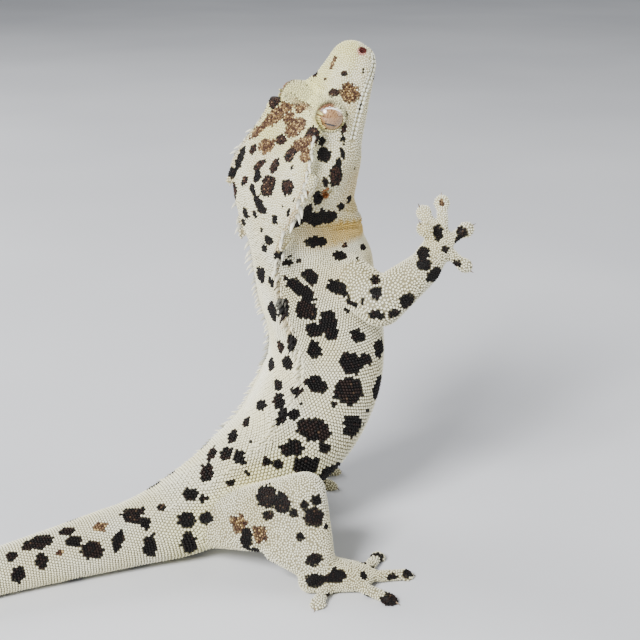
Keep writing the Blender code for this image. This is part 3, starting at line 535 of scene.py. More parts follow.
@dataclass
class BodyShape:
    """The run of sections from tail tip to snout, and places on its surface.

    Attributes:
        ahead: The way the head points.
        snout: The tip of the head's axis.
        roll: How far the head is rolled about its axis, in radians.
        body_tuck: How far the flank is drawn in under the crest, for a flank of 10.
        head_tuck: The same on the back of the head, behind tuck_from.
        tuck_from: Where the head's tuck starts, behind the snout.
        neck_key, snout_key: The numbers of the last torso section and the last head section.
        path, outlines, aheads, rolls: Middle, corners, direction and roll of every section.
        steps, reach: Fine places along the path, and how far behind the snout each lies.
    """

    ahead: Place = (0.262, -0.122, 0.957)
    snout: Place = (4.7, -4.1, 97.9)
    roll: float = math.radians(7.5)
    body_tuck: float = 0.35
    head_tuck: float = 1.1
    tuck_from: float = 16.0
    neck_key: int = len(BODY) - 1
    snout_key: int = len(BODY) + len(HEAD) - 1
    path: Array = field(init=False)
    outlines: Array = field(init=False)
    aheads: Array = field(init=False)
    rolls: Array = field(init=False)
    steps: Array = field(init=False)
    reach: Array = field(init=False)

    def __post_init__(self) -> None:
        """Work out the path and its axes from the named sections."""
        ahead = unit(np.array(self.ahead))
        centres = [np.array(section.centre) for section in BODY]
        centres += [np.array(self.snout) - ahead * section.behind for section in HEAD]
        self.path = np.array(centres)
        self.outlines = np.array([self._body_corners(s) for s in BODY] + [self._head_corners(s) for s in HEAD])
        ways = [unit(b - a) for a, b in zip(self.path[: self.neck_key + 1], self.path[1:])] + [ahead] * len(HEAD)
        for _ in range(2):
            inner = [unit(a + 2 * b + c) for a, b, c in zip(ways, ways[1:], ways[2:])]
            ways = [ways[0], *inner, ways[-1]]
        self.aheads = np.array(ways)
        rolls = [0.0] * (self.neck_key - 1) + [self.roll / 3, self.roll * 2 / 3] + [self.roll] * len(HEAD)
        self.rolls = np.array(rolls)[:, None]
        self.steps = np.linspace(0.0, self.snout_key, 1400)
        places = along(self.path, self.steps)
        gone = lengths(np.diff(places, axis=0))
        self.reach = np.concatenate([np.cumsum(gone[::-1])[::-1], [0.0]])

    def _corners(self, top: float, crest: tuple, cheek: tuple, jaw: tuple, throat: float, tuck: float) -> list:
        """The six corners from top to throat, with the one under the crest drawn in."""
        under = np.array(crest) * 0.65 + np.array(cheek) * 0.35 - np.array((tuck, 0.0))
        return [(0.0, top), crest, tuple(under), cheek, jaw, (0.0, throat)]

    def _body_corners(self, section: Section) -> list:
        """The corners of a tail or torso section."""
        jaw = (0.74 * section.flank, -0.71 * section.belly)
        tuck = self.body_tuck * section.flank / 10
        return self._corners(section.back, section.crest, (section.flank, 0.0), jaw, -section.belly, tuck)

    def _head_corners(self, section: HeadSection) -> list:
        """The corners of a head section."""
        tuck = self.head_tuck if section.behind > self.tuck_from else 0.0
        return self._corners(*section[2:], tuck)

    def rings(self, place: Array, grow: float = 0.0) -> Rings:
        """Cross-sections at places along the path.

        Args:
            place: Places, counted in sections from the tail tip.
            grow: How much larger to make each outline.

        Returns:
            The cross-sections.
        """
        ahead = unit(along(self.aheads, place))
        level = unit(np.cross(ahead, LEFT))
        turn = along(self.rolls, place)
        up = level * np.cos(turn) + np.cross(ahead, level) * np.sin(turn)
        half = along(self.outlines, place)
        middle = (half[:, :1] + half[:, THROAT:]) / 2
        half = half + unit(half - middle) * grow
        mirrored = half[:, THROAT - 1 : 0 : -1] * np.array((-1.0, 1.0))
        return Rings(along(self.path, place), ahead, up, np.cross(up, ahead), np.concatenate([half, mirrored], axis=1))

    def outline(self, rings: Rings, corner: Array) -> Array:
        """The point of each cross-section at a corner number, one for each ring."""
        first = np.floor(corner).astype(int)
        row = np.arange(len(first))
        four = [rings.shape[row, (first + step) % CORNERS] for step in (-1, 0, 1, 2)]
        flat = between(*four, corner - first)
        return rings.centre + rings.side * flat[:, :1] + rings.up * flat[:, 1:]

    def surface(self, place: Array, corner: Array) -> tuple[Array, Array, Array]:
        """Points of the surface, the way out of it there, and the way towards the tail.

        Args:
            place: Places along the path.
            corner: Corner numbers, 0 to 5 down the left side and 5 to 10 up the right.

        Returns:
            Points, outward directions and backward directions.
        """
        rings = self.rings(place)
        point = self.outline(rings, corner)
        run = self.outline(rings, corner + 0.1) - self.outline(rings, corner - 0.1)
        return point, unit(np.cross(rings.ahead, run)), -rings.ahead

    def place(self, behind: float | Array) -> Array:
        """The place along the path that lies a distance behind the snout."""
        return np.interp(-np.atleast_1d(behind), -self.reach, self.steps)

    def behind(self, place: Array) -> Array:
        """How far behind the snout a place on the path lies."""
        return np.interp(place, self.steps, self.reach)

    def spot(self, behind: float, corner: float, side: int) -> tuple[Array, Array, Array]:
        """One surface point with its outward and backward ways, on the left for side 1 and the right for -1."""
        number = corner if side > 0 else CORNERS - corner
        point, outward, backward = self.surface(self.place(behind), np.array([number]))
        return point[0], outward[0], backward[0]


@dataclass(frozen=True)
class View:
    """The camera: where it stands, seen from the design frame.

    Attributes:
        azimuth: Degrees round from looking along +Y.
        elevation: Degrees above level.
        distance: Millimetres from the point it looks at.
        target: The point it looks at.
        focal: Focal length in pixels of the view.
        frame: Width of the view in pixels.
    """

    azimuth: float = -25.0
    elevation: float = 19.0
    distance: float = 245.0
    target: Place = (0.0, 0.0, 44.0)
    focal: float = 1250.0
    frame: int = 640

    def axes(self) -> tuple[Array, Array, Array]:
        """The camera's ways right, up and back."""
        turn, lift = math.radians(self.azimuth), math.radians(self.elevation)
        back = np.array((math.sin(turn) * math.cos(lift), -math.cos(turn) * math.cos(lift), math.sin(lift)))
        right = np.array((math.cos(turn), math.sin(turn), 0.0))
        return right, np.cross(back, right), back

    def stand(self) -> Array:
        """Where the camera stands."""
        return np.array(self.target) + self.axes()[2] * self.distance

    def ray(self, across: float, down: float) -> Array:
        """The way that a place in the view looks."""
        right, up, back = self.axes()
        half = self.frame / 2
        return unit(right * (across - half) + up * (half - down) - back * self.focal)

    def build(self) -> Object:
        """Add the camera and make it the scene's own."""
        right, up, back = self.axes()
        data = bpy.data.cameras.new("view")
        data.sensor_width = 36.0
        data.lens = self.focal / self.frame * data.sensor_width
        data.clip_start = 0.01
        data.clip_end = 10.0
        camera = bpy.data.objects.new("view", data)
        turn = Matrix((right, up, back)).transposed().to_4x4()
        camera.matrix_world = Matrix.Translation((self.stand() - MODEL_CENTRE) * MM) @ turn
        bpy.context.scene.collection.objects.link(camera)
        bpy.context.scene.camera = camera
        return camera


class Wire:
    """A shader value, on which Python's arithmetic adds the Math nodes."""

    def __init__(self, graph: "Graph", socket: NodeSocket) -> None:
        """Hold a socket of a graph."""
        self.graph = graph
        self.socket = socket

    def _maths(self, operation: str, first: object, second: object) -> "Wire":
        """The result of one Math node."""
        return self.graph.add("ShaderNodeMath", {"operation": operation}, {0: first, 1: second})

    def __add__(self, other: object) -> "Wire":
        """The sum."""
        return self._maths("ADD", self, other)

    def __sub__(self, other: object) -> "Wire":
        """The difference."""
        return self._maths("SUBTRACT", self, other)

    def __rsub__(self, other: object) -> "Wire":
        """The difference, from a number."""
        return self._maths("SUBTRACT", other, self)

    def __mul__(self, other: object) -> "Wire":
        """The product."""
        return self._maths("MULTIPLY", self, other)

    __radd__ = __add__
    __rmul__ = __mul__


class Graph:
    """A material and the nodes that are added to it."""

    def __init__(self, name: str) -> None:
        """Start a material with its Principled shader."""
        self.material = bpy.data.materials.new(name)
        self.material.use_nodes = True
        self.tree = self.material.node_tree
        self.shader = self.tree.nodes["Principled BSDF"]

    def _feed(self, socket: NodeSocket, value: object) -> None:
        """Give a socket a value or a link."""
        if isinstance(value, Wire):
            self.tree.links.new(value.socket, socket)
        else:
            socket.default_value = value

    def add(self, kind: str, settings: dict, sockets: dict, out: int | str = 0) -> Wire:
        """Add one node.

        Args:
            kind: The node's type.
            settings: Its settings, with a ramp's stops as a list under "stops".
            sockets: Values or wires for its inputs, by name or number.
            out: Which output to return.

        Returns:
            That output.
        """
        node = self.tree.nodes.new(kind)
        for key, value in settings.items():
            if key == "stops":
                ramp = node.color_ramp
                while len(ramp.elements) < len(value):
                    ramp.elements.new(0.5)
                for element, (at, colour) in zip(ramp.elements, value):
                    element.position = at
                    element.color = (*colour, 1.0)
            else:
                setattr(node, key, value)
        for key, value in sockets.items():
            self._feed(node.inputs[key], value)
        return Wire(self, node.outputs[out])

    def mix(self, share: object, first: object, second: object, blend: str = "MIX") -> Wire:
        """Two colours mixed by a share."""
        settings = {"data_type": "RGBA", "blend_type": blend}
        return self.add("ShaderNodeMix", settings, {0: share, 6: first, 7: second}, 2)

    def finish(self, **sockets: object) -> Material:
        """Feed the shader's own sockets, with _ in a name for a space, and give the material back."""
        for key, value in sockets.items():
            self._feed(self.shader.inputs[key.replace("_", " ")], value)
        return self.material


@dataclass(frozen=True)
class SkinFinish:
    """Soft matt scales, coloured by the marking that each piece carries.

    Attributes:
        roughness: How matt a scale is.
        grain: Size of the fine mottling, as a scale of its noise.
        shift: How far that mottling lightens and darkens.
        relief: How strongly it also stands in relief.
    """

    roughness: float = 0.62
    grain: float = 2600.0
    shift: float = 0.14
    relief: float = 0.2

    def build(self, name: str) -> Material:
        """The material, by name."""
        graph = Graph(name)
        place = graph.add("ShaderNodeTexCoord", {}, {}, "Object")
        marking = graph.add("ShaderNodeAttribute", {"attribute_name": "Marking"}, {}, "Color")
        mottle = graph.add("ShaderNodeTexNoise", {}, {"Vector": place, "Scale": self.grain, "Detail": 2.0})
        level = mottle * (2 * self.shift) + (1.0 - self.shift)
        shade = graph.add("ShaderNodeCombineColor", {}, {0: level, 1: level, 2: level})
        colour = graph.mix(1.0, marking, shade, "MULTIPLY")
        raised = graph.add("ShaderNodeBump", {}, {"Strength": self.relief, "Distance": 0.0001, "Height": mottle})
        rough = mottle * 0.12 + (self.roughness - 0.06)
        return graph.finish(Base_Color=colour, Roughness=rough, Normal=raised, Specular_IOR_Level=0.25)


@dataclass(frozen=True)
class EyeFinish:
    """A glossy eye: a tan iris with radial veins, and a thin dark slit of a pupil.

    Attributes:
        slit_width: Half width of the pupil, as a share of the ball's radius.
        slit_height: Half height of the pupil, the same way.
        iris, vein, pale, pupil: The colours.
        iris_reach: How far out the iris goes.
        turned: How far the pupil is turned aside, the same way.
    """

    iris: Colour = (166, 126, 88)
    vein: Colour = (96, 66, 42)
    pale: Colour = (182, 148, 106)
    pupil: Colour = (30, 20, 16)
    slit_width: float = 0.065
    slit_height: float = 0.46
    iris_reach: float = 1.1
    turned: float = 0.42

    def build(self, name: str) -> Material:
        """The material, by name. It reads the ball's own map, whose middle is the middle of the pupil."""
        graph = Graph(name)
        place = graph.add("ShaderNodeUVMap", {"uv_map": "Iris"}, {})
        parts = graph.add("ShaderNodeSeparateXYZ", {}, {0: place})
        x = (parts - 0.5) * 2.0 + self.turned
        y = (Wire(graph, parts.socket.node.outputs[1]) - 0.5) * 2.0
        around = graph.add("ShaderNodeMath", {"operation": "ARCTAN2"}, {0: y, 1: x})
        out = graph.add("ShaderNodeMath", {"operation": "SQRT"}, {0: x * x + y * y})
        spoke = graph.add("ShaderNodeCombineXYZ", {}, {0: around * 3.0, 1: out * 2.2})
        veins = graph.add("ShaderNodeTexNoise", {}, {"Vector": spoke, "Scale": 3.2, "Detail": 5.0, "Distortion": 0.6})
        stops = [(0.36, linear(*self.vein)), (0.5, linear(*self.iris)), (0.66, linear(*self.pale))]
        iris = graph.add("ShaderNodeValToRGB", {"stops": stops}, {0: veins})
        notch = graph.add("ShaderNodeTexNoise", {}, {"Vector": place, "Scale": 22.0, "Detail": 1.0})
        wide = x * (1.0 / self.slit_width)
        tall = y * (1.0 / self.slit_height)
        inside = wide * wide + tall * tall + notch * 0.9
        slit = graph.add("ShaderNodeMapRange", {}, {0: inside, 1: 1.2, 2: 1.5, 3: 0.0, 4: 1.0})
        edge = self.iris_reach
        rim = graph.add("ShaderNodeMapRange", {}, {0: out, 1: edge, 2: edge + 0.07, 3: 0.0, 4: 1.0})
        dark = (*linear(*self.pupil), 1.0)
        colour = graph.mix(rim, graph.mix(slit, dark, iris), dark)
        return graph.finish(
            Base_Color=colour, Roughness=0.22, Coat_Weight=1.0, Coat_Roughness=0.04, Specular_IOR_Level=0.5
        )


@dataclass(frozen=True)
class CloudFinish:
    """A plain finish whose two tones change slowly into each other, for horn and floor.

    Attributes:
        dark: The tone where the noise is below low.
        light: The tone where it is above high.
        scale, detail: Scale and detail of the noise.
        low, high: Where the two tones start.
        roughness: How matt it is.
    """

    dark: Colour
    light: Colour
    scale: float
    detail: float
    low: float
    high: float
    roughness: float

    def build(self, name: str) -> Material:
        """The material, by name."""
        graph = Graph(name)
        place = graph.add("ShaderNodeTexCoord", {}, {}, "Object")
        cloud = graph.add("ShaderNodeTexNoise", {}, {"Vector": place, "Scale": self.scale, "Detail": self.detail})
        stops = [(self.low, linear(*self.dark)), (self.high, linear(*self.light))]
        colour = graph.add("ShaderNodeValToRGB", {"stops": stops}, {0: cloud})
        return graph.finish(Base_Color=colour, Roughness=self.roughness)


HORN = CloudFinish((70, 52, 38), (150, 128, 100), 900.0, 3.0, 0.35, 0.65, 0.35)
PALE_FLOOR = CloudFinish((214, 215, 219), (226, 227, 230), 6.0, 2.0, 0.3, 0.7, 0.6)


def new_object(name: str, data: Mesh) -> Object:
    """An object of a mesh, linked to the scene."""
    made = bpy.data.objects.new(name, data)
    bpy.context.scene.collection.objects.link(made)
    return made


def only_select(target: Object) -> None:
    """Make the target the one selected and active object."""
    bpy.ops.object.select_all(action="DESELECT")
    target.select_set(True)
    bpy.context.view_layer.objects.active = target


def read_points(target: Object) -> Array:
    """The corners of a mesh, in design millimetres."""
    points = np.empty(len(target.data.vertices) * 3)
    target.data.vertices.foreach_get("co", points)
    return points.reshape(-1, 3) / MM + MODEL_CENTRE


def write_points(target: Object, points: Array) -> None:
    """Move the corners of a mesh to points in design millimetres."""
    target.data.vertices.foreach_set("co", ((points - MODEL_CENTRE) * MM).ravel())
    target.data.update()


def read_normals(target: Object) -> Array:
    """The way out of a mesh at each corner."""
    normals = np.empty(len(target.data.vertices) * 3)
    target.data.vertices.foreach_get("normal", normals)
    return normals.reshape(-1, 3)


def face_outward(target: Object) -> None:
    """Turn a mesh's faces outward."""
    shaped = bmesh.new()
    shaped.from_mesh(target.data)
    bmesh.ops.recalc_face_normals(shaped, faces=shaped.faces)
    shaped.to_mesh(target.data)
    shaped.free()


def from_bmesh(name: str, shaped: bmesh.types.BMesh) -> Object:
    """An object of a bmesh, turned outward. It frees the bmesh."""
    bmesh.ops.recalc_face_normals(shaped, faces=shaped.faces)
    mesh = bpy.data.meshes.new(name)
    shaped.to_mesh(mesh)
    shaped.free()
    return new_object(name, mesh)


def cone(sides: int, root: float, tip: float, depth: float, middle: float) -> Object:
    """An upright cone with a blunt tip, to shape small pieces from.

    Args:
        sides: How many sides it has.
        root: Its radius below.
        tip: Its radius above.
        depth: How tall it is.
        middle: How high its middle lies.

    Returns:
        The cone.
    """
    bpy.ops.mesh.primitive_cone_add(vertices=sides, radius1=root, radius2=tip, depth=depth, location=(0, 0, middle))
    bpy.ops.object.transform_apply(location=True, rotation=True, scale=True)
    return bpy.context.object


def cut(heights: Sequence[float]) -> None:
    """Add a ring of corners round the active shape at each height."""
    bpy.ops.object.mode_set(mode="EDIT")
    for height in heights:
        bpy.ops.mesh.select_all(action="SELECT")
        bpy.ops.mesh.bisect(plane_co=(0, 0, height), plane_no=(0, 0, 1))
    bpy.ops.object.mode_set(mode="OBJECT")


def tree_of(points: Array) -> KDTree:
    """A tree to find the nearest of many points."""
    tree = KDTree(len(points))
    for n, point in enumerate(points):
        tree.insert(Vector(point), n)
    tree.balance()
    return tree


def gone_along(line: Array) -> Array:
    """How far along a line of points each one lies."""
    return np.concatenate([[0.0], np.cumsum(lengths(np.diff(line, axis=0)))])


def line_gap(points: Array, start: Array, end: Array) -> Array:
    """How far points lie from a straight length."""
    run = end - start
    share = np.clip((points - start) @ run / (run @ run), 0.0, 1.0)
    return lengths(points - start - share[:, None] * run)


def laid(way: Array, outward: Array) -> Array:
    """Ways laid flat against the skin, given the way out of it at each."""
    return unit(way - outward * (way * outward).sum(1)[:, None])


def paint(target: Object, colours: Array) -> None:
    """Store a colour for each corner of a mesh as its marking."""
    layer = target.data.attributes.new("Marking", "FLOAT_COLOR", "POINT")
    full = np.concatenate([np.clip(colours, 0.0, 1.0), np.ones((len(colours), 1))], axis=1)
    layer.data.foreach_set("color", full.astype(np.float32).ravel())


def from_arrays(name: str, points: Array, faces: Array) -> Object:
    """A smooth object of triangles, from points in design millimetres.

    Args:
        name: The object's name.
        points: Its corners.
        faces: Three corner numbers for each face.

    Returns:
        The object.
    """
    mesh = bpy.data.meshes.new(name)
    mesh.vertices.add(len(points))
    mesh.vertices.foreach_set("co", ((points - MODEL_CENTRE) * MM).astype(np.float32).ravel())
    mesh.loops.add(faces.size)
    mesh.loops.foreach_set("vertex_index", faces.astype(np.int32).ravel())
    mesh.polygons.add(len(faces))
    mesh.polygons.foreach_set("loop_start", np.arange(0, faces.size, 3, dtype=np.int32))
    mesh.polygons.foreach_set("use_smooth", np.ones(len(faces), bool))
    mesh.update(calc_edges=True)
    mesh.validate()
    return new_object(name, mesh)


class Template(NamedTuple):
    """A small shape to be repeated.

    Attributes:
        corners: Its corners, one long.
        faces: Its triangles.
    """

    corners: Array
    faces: Array

    def shade(self, pitch: Array) -> Array:
        """How bright each corner of each copy is: painted shade, dim at the root, and a painted highlight at the tip,
        the more so the wider they stand.
        """
        full = np.interp(self.corners[:, 2], (-0.1, 0.2, 0.6, 1.0), (0.2, 0.6, 0.98, 1.1))
        return 1.0 - (1.0 - full) * np.interp(pitch, (0.4, 0.56), (0.62, 1.0))[:, None]

    @classmethod
    def take(cls, made: Object) -> "Template":
        """Read a modelled object as a template, turned outward and in triangles, and remove it."""
        shaped = bmesh.new()
        shaped.from_mesh(made.data)
        bmesh.ops.recalc_face_normals(shaped, faces=shaped.faces)
        bmesh.ops.triangulate(shaped, faces=shaped.faces)
        shaped.verts.ensure_lookup_table()
        corners = np.array([corner.co[:] for corner in shaped.verts])
        faces = np.array([[corner.index for corner in face.verts] for face in shaped.faces])
        shaped.free()
        mesh = made.data
        bpy.data.objects.remove(made)
        bpy.data.meshes.remove(mesh)
        return cls(corners, faces)

    def tile(self, count: int) -> Array:
        """The triangles of a number of copies whose corners follow one another."""
        return (self.faces[None] + (np.arange(count) * len(self.corners))[:, None, None]).reshape(-1, 3)

    def repeat(self, name: str, roots: "Roots", size: Array, finish: Material) -> Object:
        """Copies of the template on roots, in one object with its marking and its map.

        Args:
            name: The object's name.
            roots: Where the copies stand, how they lie and how high they are.
            size: How large each copy is along the skin.
            finish: What they are made of.

        Returns:
            The object.
        """
        across = np.cross(roots.outward, roots.backward)
        flat = self.corners[None, :, :1] * roots.backward[:, None] + self.corners[None, :, 1:2] * across[:, None]
        points = roots.point[:, None] + flat * size[:, None, None]
        points = points + roots.outward[:, None] * self.corners[None, :, 2:] * roots.height[:, None, None]
        faces = self.tile(len(roots.point))
        made = from_arrays(name, points.reshape(-1, 3), faces)
        # The marking is dimmed at each copy's root as painted shade and lifted at its tip as a painted highlight.
        paint(made, (roots.colour[:, None] * self.shade(roots.pitch)[..., None]).reshape(-1, 3))
        reach = np.abs(self.corners[:, :2]).max()
        patch = roots.bake[:, None] + self.corners[None, :, :2] / reach * PATCH / 2
        layer = made.data.uv_layers.new(name="OFBake")
        layer.data.foreach_set("uv", patch.reshape(-1, 2)[faces.ravel()].astype(np.float32).ravel())
        made.data.materials.append(finish)
        return made


@dataclass
class Roots:
    """Where small copies stand on the skin.

    Attributes:
        point: Their places.
        outward: The way out of the skin at each.
        backward: The way each one lies.
        pitch: How far apart they stand.
        height: How high each is.
        colour: Their markings.
        bake: The middle of each one's patch on the unwrapped skin.
        region: Which length of the coat each belongs to.
    """

    point: Array
    outward: Array
    backward: Array
    pitch: Array
    height: Array
    colour: Array
    bake: Array
    region: Array | None = None

    def some(self, which: Array) -> "Roots":
        """The roots that a mask or list picks."""
        return Roots(**{name: values[which] for name, values in vars(self).items()})


@dataclass
class Bones:
    """The straight lengths of every limb, to find which one a place belongs to and where on it.

    Attributes:
        start: Where each length starts.
        end: Where it ends.
        radius: How thick it is.
        region: The coat's length that it belongs to.
        column: Its column on the limb's unwrap.
        columns: How many columns there are.
    """

    start: Array = field(init=False)
    end: Array = field(init=False)
    radius: Array = field(init=False)
    region: list = field(init=False)
    column: Array = field(init=False)
    columns: int = 13

    def __post_init__(self) -> None:
        """List the straight parts of each limb."""
        rows = []
        for limb in LIMBS:
            palm = np.array(limb.palm[-1][0])
            stops = [np.array(limb.root), np.array(limb.bend), np.array(limb.wrist), palm]
            parts = list(zip(stops, stops[1:], (4.6, 3.8, 2.6)))
            for toe in limb.toes:
                knuckle, pad = np.array(toe.knuckle), np.array(toe.pad)
                parts.append((palm, knuckle, 1.1))
                parts.append((knuckle, pad + unit(pad - knuckle) * 1.5, 1.2))
            rows += [(*part, limb.region, n) for n, part in enumerate(parts)]
        self.start = np.array([row[0] for row in rows])
        self.end = np.array([row[1] for row in rows])
        self.radius = np.array([row[2] for row in rows])
        self.region = [row[3] for row in rows]
        self.column = np.array([row[4] for row in rows])

    def locate(self, points: Array) -> tuple[Array, Array, Array]:
        """For each point the nearest length, the way along it, and the place on the unwrap.

        Args:
            points: Places on or near a limb.

        Returns:
            Numbers of lengths, directions, and places on the unwrap.
        """
        run = self.end - self.start
        size = (run**2).sum(1)
        offset = points[:, None] - self.start[None]
        share = np.clip((offset * run[None]).sum(2) / size, 0.0, 1.0)
        away = offset - share[..., None] * run[None]
        nearest = (lengths(away) - self.radius[None]).argmin(1)
        row = np.arange(len(points))
        way = unit(run[nearest])
        aside = unit(np.cross(way, np.array((0.31, 0.22, 0.92))))
        other = np.cross(way, aside)
        off = away[row, nearest]
        angle = np.arctan2((off * other).sum(1), (off * aside).sum(1)) / math.tau + 0.5
        across = (self.column[nearest] + 0.08 + 0.84 * angle) / self.columns
        return nearest, way, np.stack([across, 0.02 + 0.96 * share[row, nearest]], axis=1)


@dataclass
class Skin:
    """The one skin of the whole animal, from voxels of the same sections and hulls as the solids.

    Attributes:
        shape: The body's sections.
        depth: How far the skin lies inside the solids, for the scales to stand on.
        voxel: Size of the voxels.
        rings_per_key, sides: How fine the mesh of the body is, before the voxels.
        eye_behind, eye_aside, eye_up, eye_radius, eye_look: Where each eyeball sits and looks.
        lid_reach: How far the lids reach from the eye's middle, along the head, over and under the eye.
        lid_ahead: How far the lids' outline is shifted along the head.
        eye_sink, lid_fade: How deep the skin is sunk behind the eyes, and how softly that ends under the lids.
        flaps: The nape's flaps, each from, to and lift.
        head_end, head_reach, arms_ahead: Where the head's finer mesh ends: behind the snout, all round it, and
            ahead, short of the raised arms.
        body, points, normals, faces, tree: The finished skin, and what is looked up on it.
        raised, press: How far each point of the skin is lifted and pressed in.
    """

    shape: BodyShape
    depth: float = 0.25
    voxel: float = 0.53
    rings_per_key: int = 6
    sides: int = 72
    eye_behind: float = 13.0
    eye_aside: float = 5.9
    eye_up: float = 4.5
    eye_radius: float = 2.85
    eye_look: Place = (0.9, 0.3, 0.05)
    lid_reach: Place = (3.55, 3.15, 3.1)
    lid_ahead: float = 0.35
    eye_sink: float = 3.2
    lid_fade: float = 0.16
    flaps: tuple = ((24.0, 31.6, 0.9), (34.7, 38.2, 1.3))
    head_end: float = 36.0
    head_reach: float = 42.0
    arms_ahead: float = 11.5
    body: Object = field(init=False)
    points: Array = field(init=False)
    normals: Array = field(init=False)
    faces: list = field(init=False)
    tree: BVHTree = field(init=False)
    raised: Array = field(init=False)
    press: Array = field(init=False)

    def _loft(self) -> Object:
        """The body as one closed solid, a coat's depth inside the sections."""
        count = self.shape.snout_key * self.rings_per_key
        rings = self.shape.rings(np.linspace(0.0, self.shape.snout_key, count), -self.depth)
        shaped = bmesh.new()
        rows = []
        for corner in np.arange(self.sides) * CORNERS / self.sides:
            column = self.shape.outline(rings, np.full(count, corner))
            rows.append([shaped.verts.new((point - MODEL_CENTRE) * MM) for point in column])
        for n, near in enumerate(rows):
            far = rows[(n + 1) % self.sides]
            for i in range(count - 1):
                shaped.faces.new((near[i], near[i + 1], far[i + 1], far[i]))
        shaped.faces.new([row[0] for row in rows])
        shaped.faces.new([row[-1] for row in rows])
        return from_bmesh("skin", shaped)

    def _hull(self, balls: Sequence, segments: int = 20) -> Object:
        """The smooth hull over balls, each a (centre, radius) pair."""
        shaped = bmesh.new()
        for centre, radius in balls:
            place = Matrix.Translation((np.array(centre) - MODEL_CENTRE) * MM)
            bmesh.ops.create_uvsphere(
                shaped, u_segments=segments, v_segments=segments * 2 // 3, radius=(radius - 0.12) * MM, matrix=place
            )
        bmesh.ops.delete(shaped, geom=shaped.edges, context="EDGES_FACES")
        made = bmesh.ops.convex_hull(shaped, input=shaped.verts)
        inner = set(made["geom_interior"]) | set(made["geom_unused"])
        loose = [corner for corner in shaped.verts if corner in inner or not corner.link_faces]
        bmesh.ops.delete(shaped, geom=loose, context="VERTS")
        return from_bmesh("hull", shaped)

    def _pad(self, toe: Toe) -> Object:
        """The wide flat pad of a toe, a ball pressed thin."""
        centre, ahead, across, sole = toe.axes()
        bpy.ops.mesh.primitive_uv_sphere_add(segments=20, ring_count=12, radius=1.0)
        made = bpy.context.object
        frame = Matrix((ahead * 1.6, across * 1.5, sole * 0.9)).transposed().to_4x4()
        frame = Matrix.Scale(MM, 4) @ frame
        made.data.transform(Matrix.Translation((centre - MODEL_CENTRE) * MM) @ frame)
        return made

    def _limb(self, limb: Limb) -> list[Object]:
        """The hulls of one limb."""
        palm = np.array(limb.palm[-1][0])
        knuckles = [(palm + (np.array(toe.knuckle) - palm) * 0.7, 1.2) for toe in limb.toes[1:4]]
        made = [self._hull(limb.upper), self._hull(limb.lower), self._hull(limb.palm + knuckles)]
        for toe in limb.toes:
            knuckle, pad = np.array(toe.knuckle), np.array(toe.pad)
            base = palm + (knuckle - palm) * 0.45
            sole = np.array(toe.sole) * 0.3
            made.append(self._hull([(base, 1.35), (knuckle, 1.1)], 12))
            made.append(self._hull([(knuckle, 1.1), (pad - sole, 1.05)], 12))
            made.append(self._pad(toe))
        return made

    def _flap(self, side: int, start: float, tip: float, lift: float) -> Object:
        """A tongue of skin that lifts off the nape and ends in a free tip."""
        balls = []
        for share, radius, out in ((0.0, 1.5, -1.6), (0.5, 1.0, -0.6), (1.0, 0.55, lift)):
            point, outward, _ = self.shape.spot(start + (tip - start) * share, 1.1, side)
            balls.append((point + outward * out, radius))
        return self._hull(balls, 12)

    def _relax(self, points: Array, weight: Array, rounds: int, swell: float) -> Array:
        """Points drawn to the middle of their neighbours, then pushed back so that they don't shrink.

        Args:
            points: The skin's corners.
            weight: How far each moves.
            rounds: How many times.
            swell: The share pushed back, or 0 for a plain smoothing.

        Returns:
            The moved points.
        """
        ends = np.empty(len(self.body.data.edges) * 2, int)
        self.body.data.edges.foreach_get("vertices", ends)
        a, b = ends.reshape(-1, 2).T
        count = len(points)
        degree = np.maximum(np.bincount(a, minlength=count) + np.bincount(b, minlength=count), 1)[:, None]
        for _ in range(rounds):
            for step in (0.5, -swell) if swell else (0.5,):
                total = np.stack(
                    [
                        np.bincount(a, points[b, axis], count) + np.bincount(b, points[a, axis], count)
                        for axis in range(3)
                    ],
                    axis=1,
                )
                points = points + (total / degree - points) * weight * step
        return points

    def _behind(self, points: Array) -> Array:
        """How far behind the snout points lie, measured along the head's axis."""
        return (np.array(self.shape.snout) - points) @ unit(np.array(self.shape.ahead))

    def eye(self, side: int) -> tuple[Array, Array, Array, Array]:
        """An eyeball's centre, the way it looks, its way forward and its way up."""
        rings = self.shape.rings(self.shape.place(self.eye_behind))
        up, across, ahead = rings.up[0], rings.side[0] * side, rings.ahead[0]
        centre = rings.centre[0] + across * self.eye_aside + up * self.eye_up
        out, raised, forward = self.eye_look
        look = unit(across * out + up * raised + ahead * forward)
        forward_way = unit(ahead - look * (ahead @ look))
        return centre, look, forward_way, unit(up - look * (up @ look) - forward_way * (up @ forward_way))

    def lid_share(self, points: Array, side: int) -> Array:
        """How far out in an eye's lids points lie, 1 at their edge, and large behind the eye."""
        centre, look, forward, up = self.eye(side)
        offset = points - centre
        ahead, over, under = self.lid_reach
        raised = offset @ up
        share = np.hypot((offset @ forward - self.lid_ahead) / ahead, raised / np.where(raised > 0, over, under))
        return np.where(offset @ look > 0, share, FAR_AWAY)

    def _groove(self, route: Array, depth: float, width: float) -> None:
        """Press a groove along a route, or raise a fold for a negative depth."""
        for start, end in zip(route, route[1:]):
            room = np.linalg.norm(end - start) + 4 * width
            near = np.flatnonzero(np.abs(self.points - (start + end) / 2).max(1) < room)
            fade = depth * np.exp(-((line_gap(self.points[near], start, end) / width) ** 2))
            self.press[near] = np.where(np.abs(fade) > np.abs(self.press[near]), fade, self.press[near])

    def _swell(self, behind: float, corner: float, radius: float, height: float) -> None:
        """Raise a soft mound on both sides of the head, or a hollow for a negative height."""
        for side in SIDES:
            point = self.shape.spot(behind, corner, side)[0]
            gap = lengths(self.points - point)
            self.raised += height * np.exp(-((gap / radius) ** 2))

    def _line(self, stops: Sequence[tuple[float, float]], side: int) -> Array:
        """Points of the body's surface on one side, from their distances behind the snout and corners."""
        return np.array([self.shape.spot(behind, corner, side)[0] for behind, corner in stops])

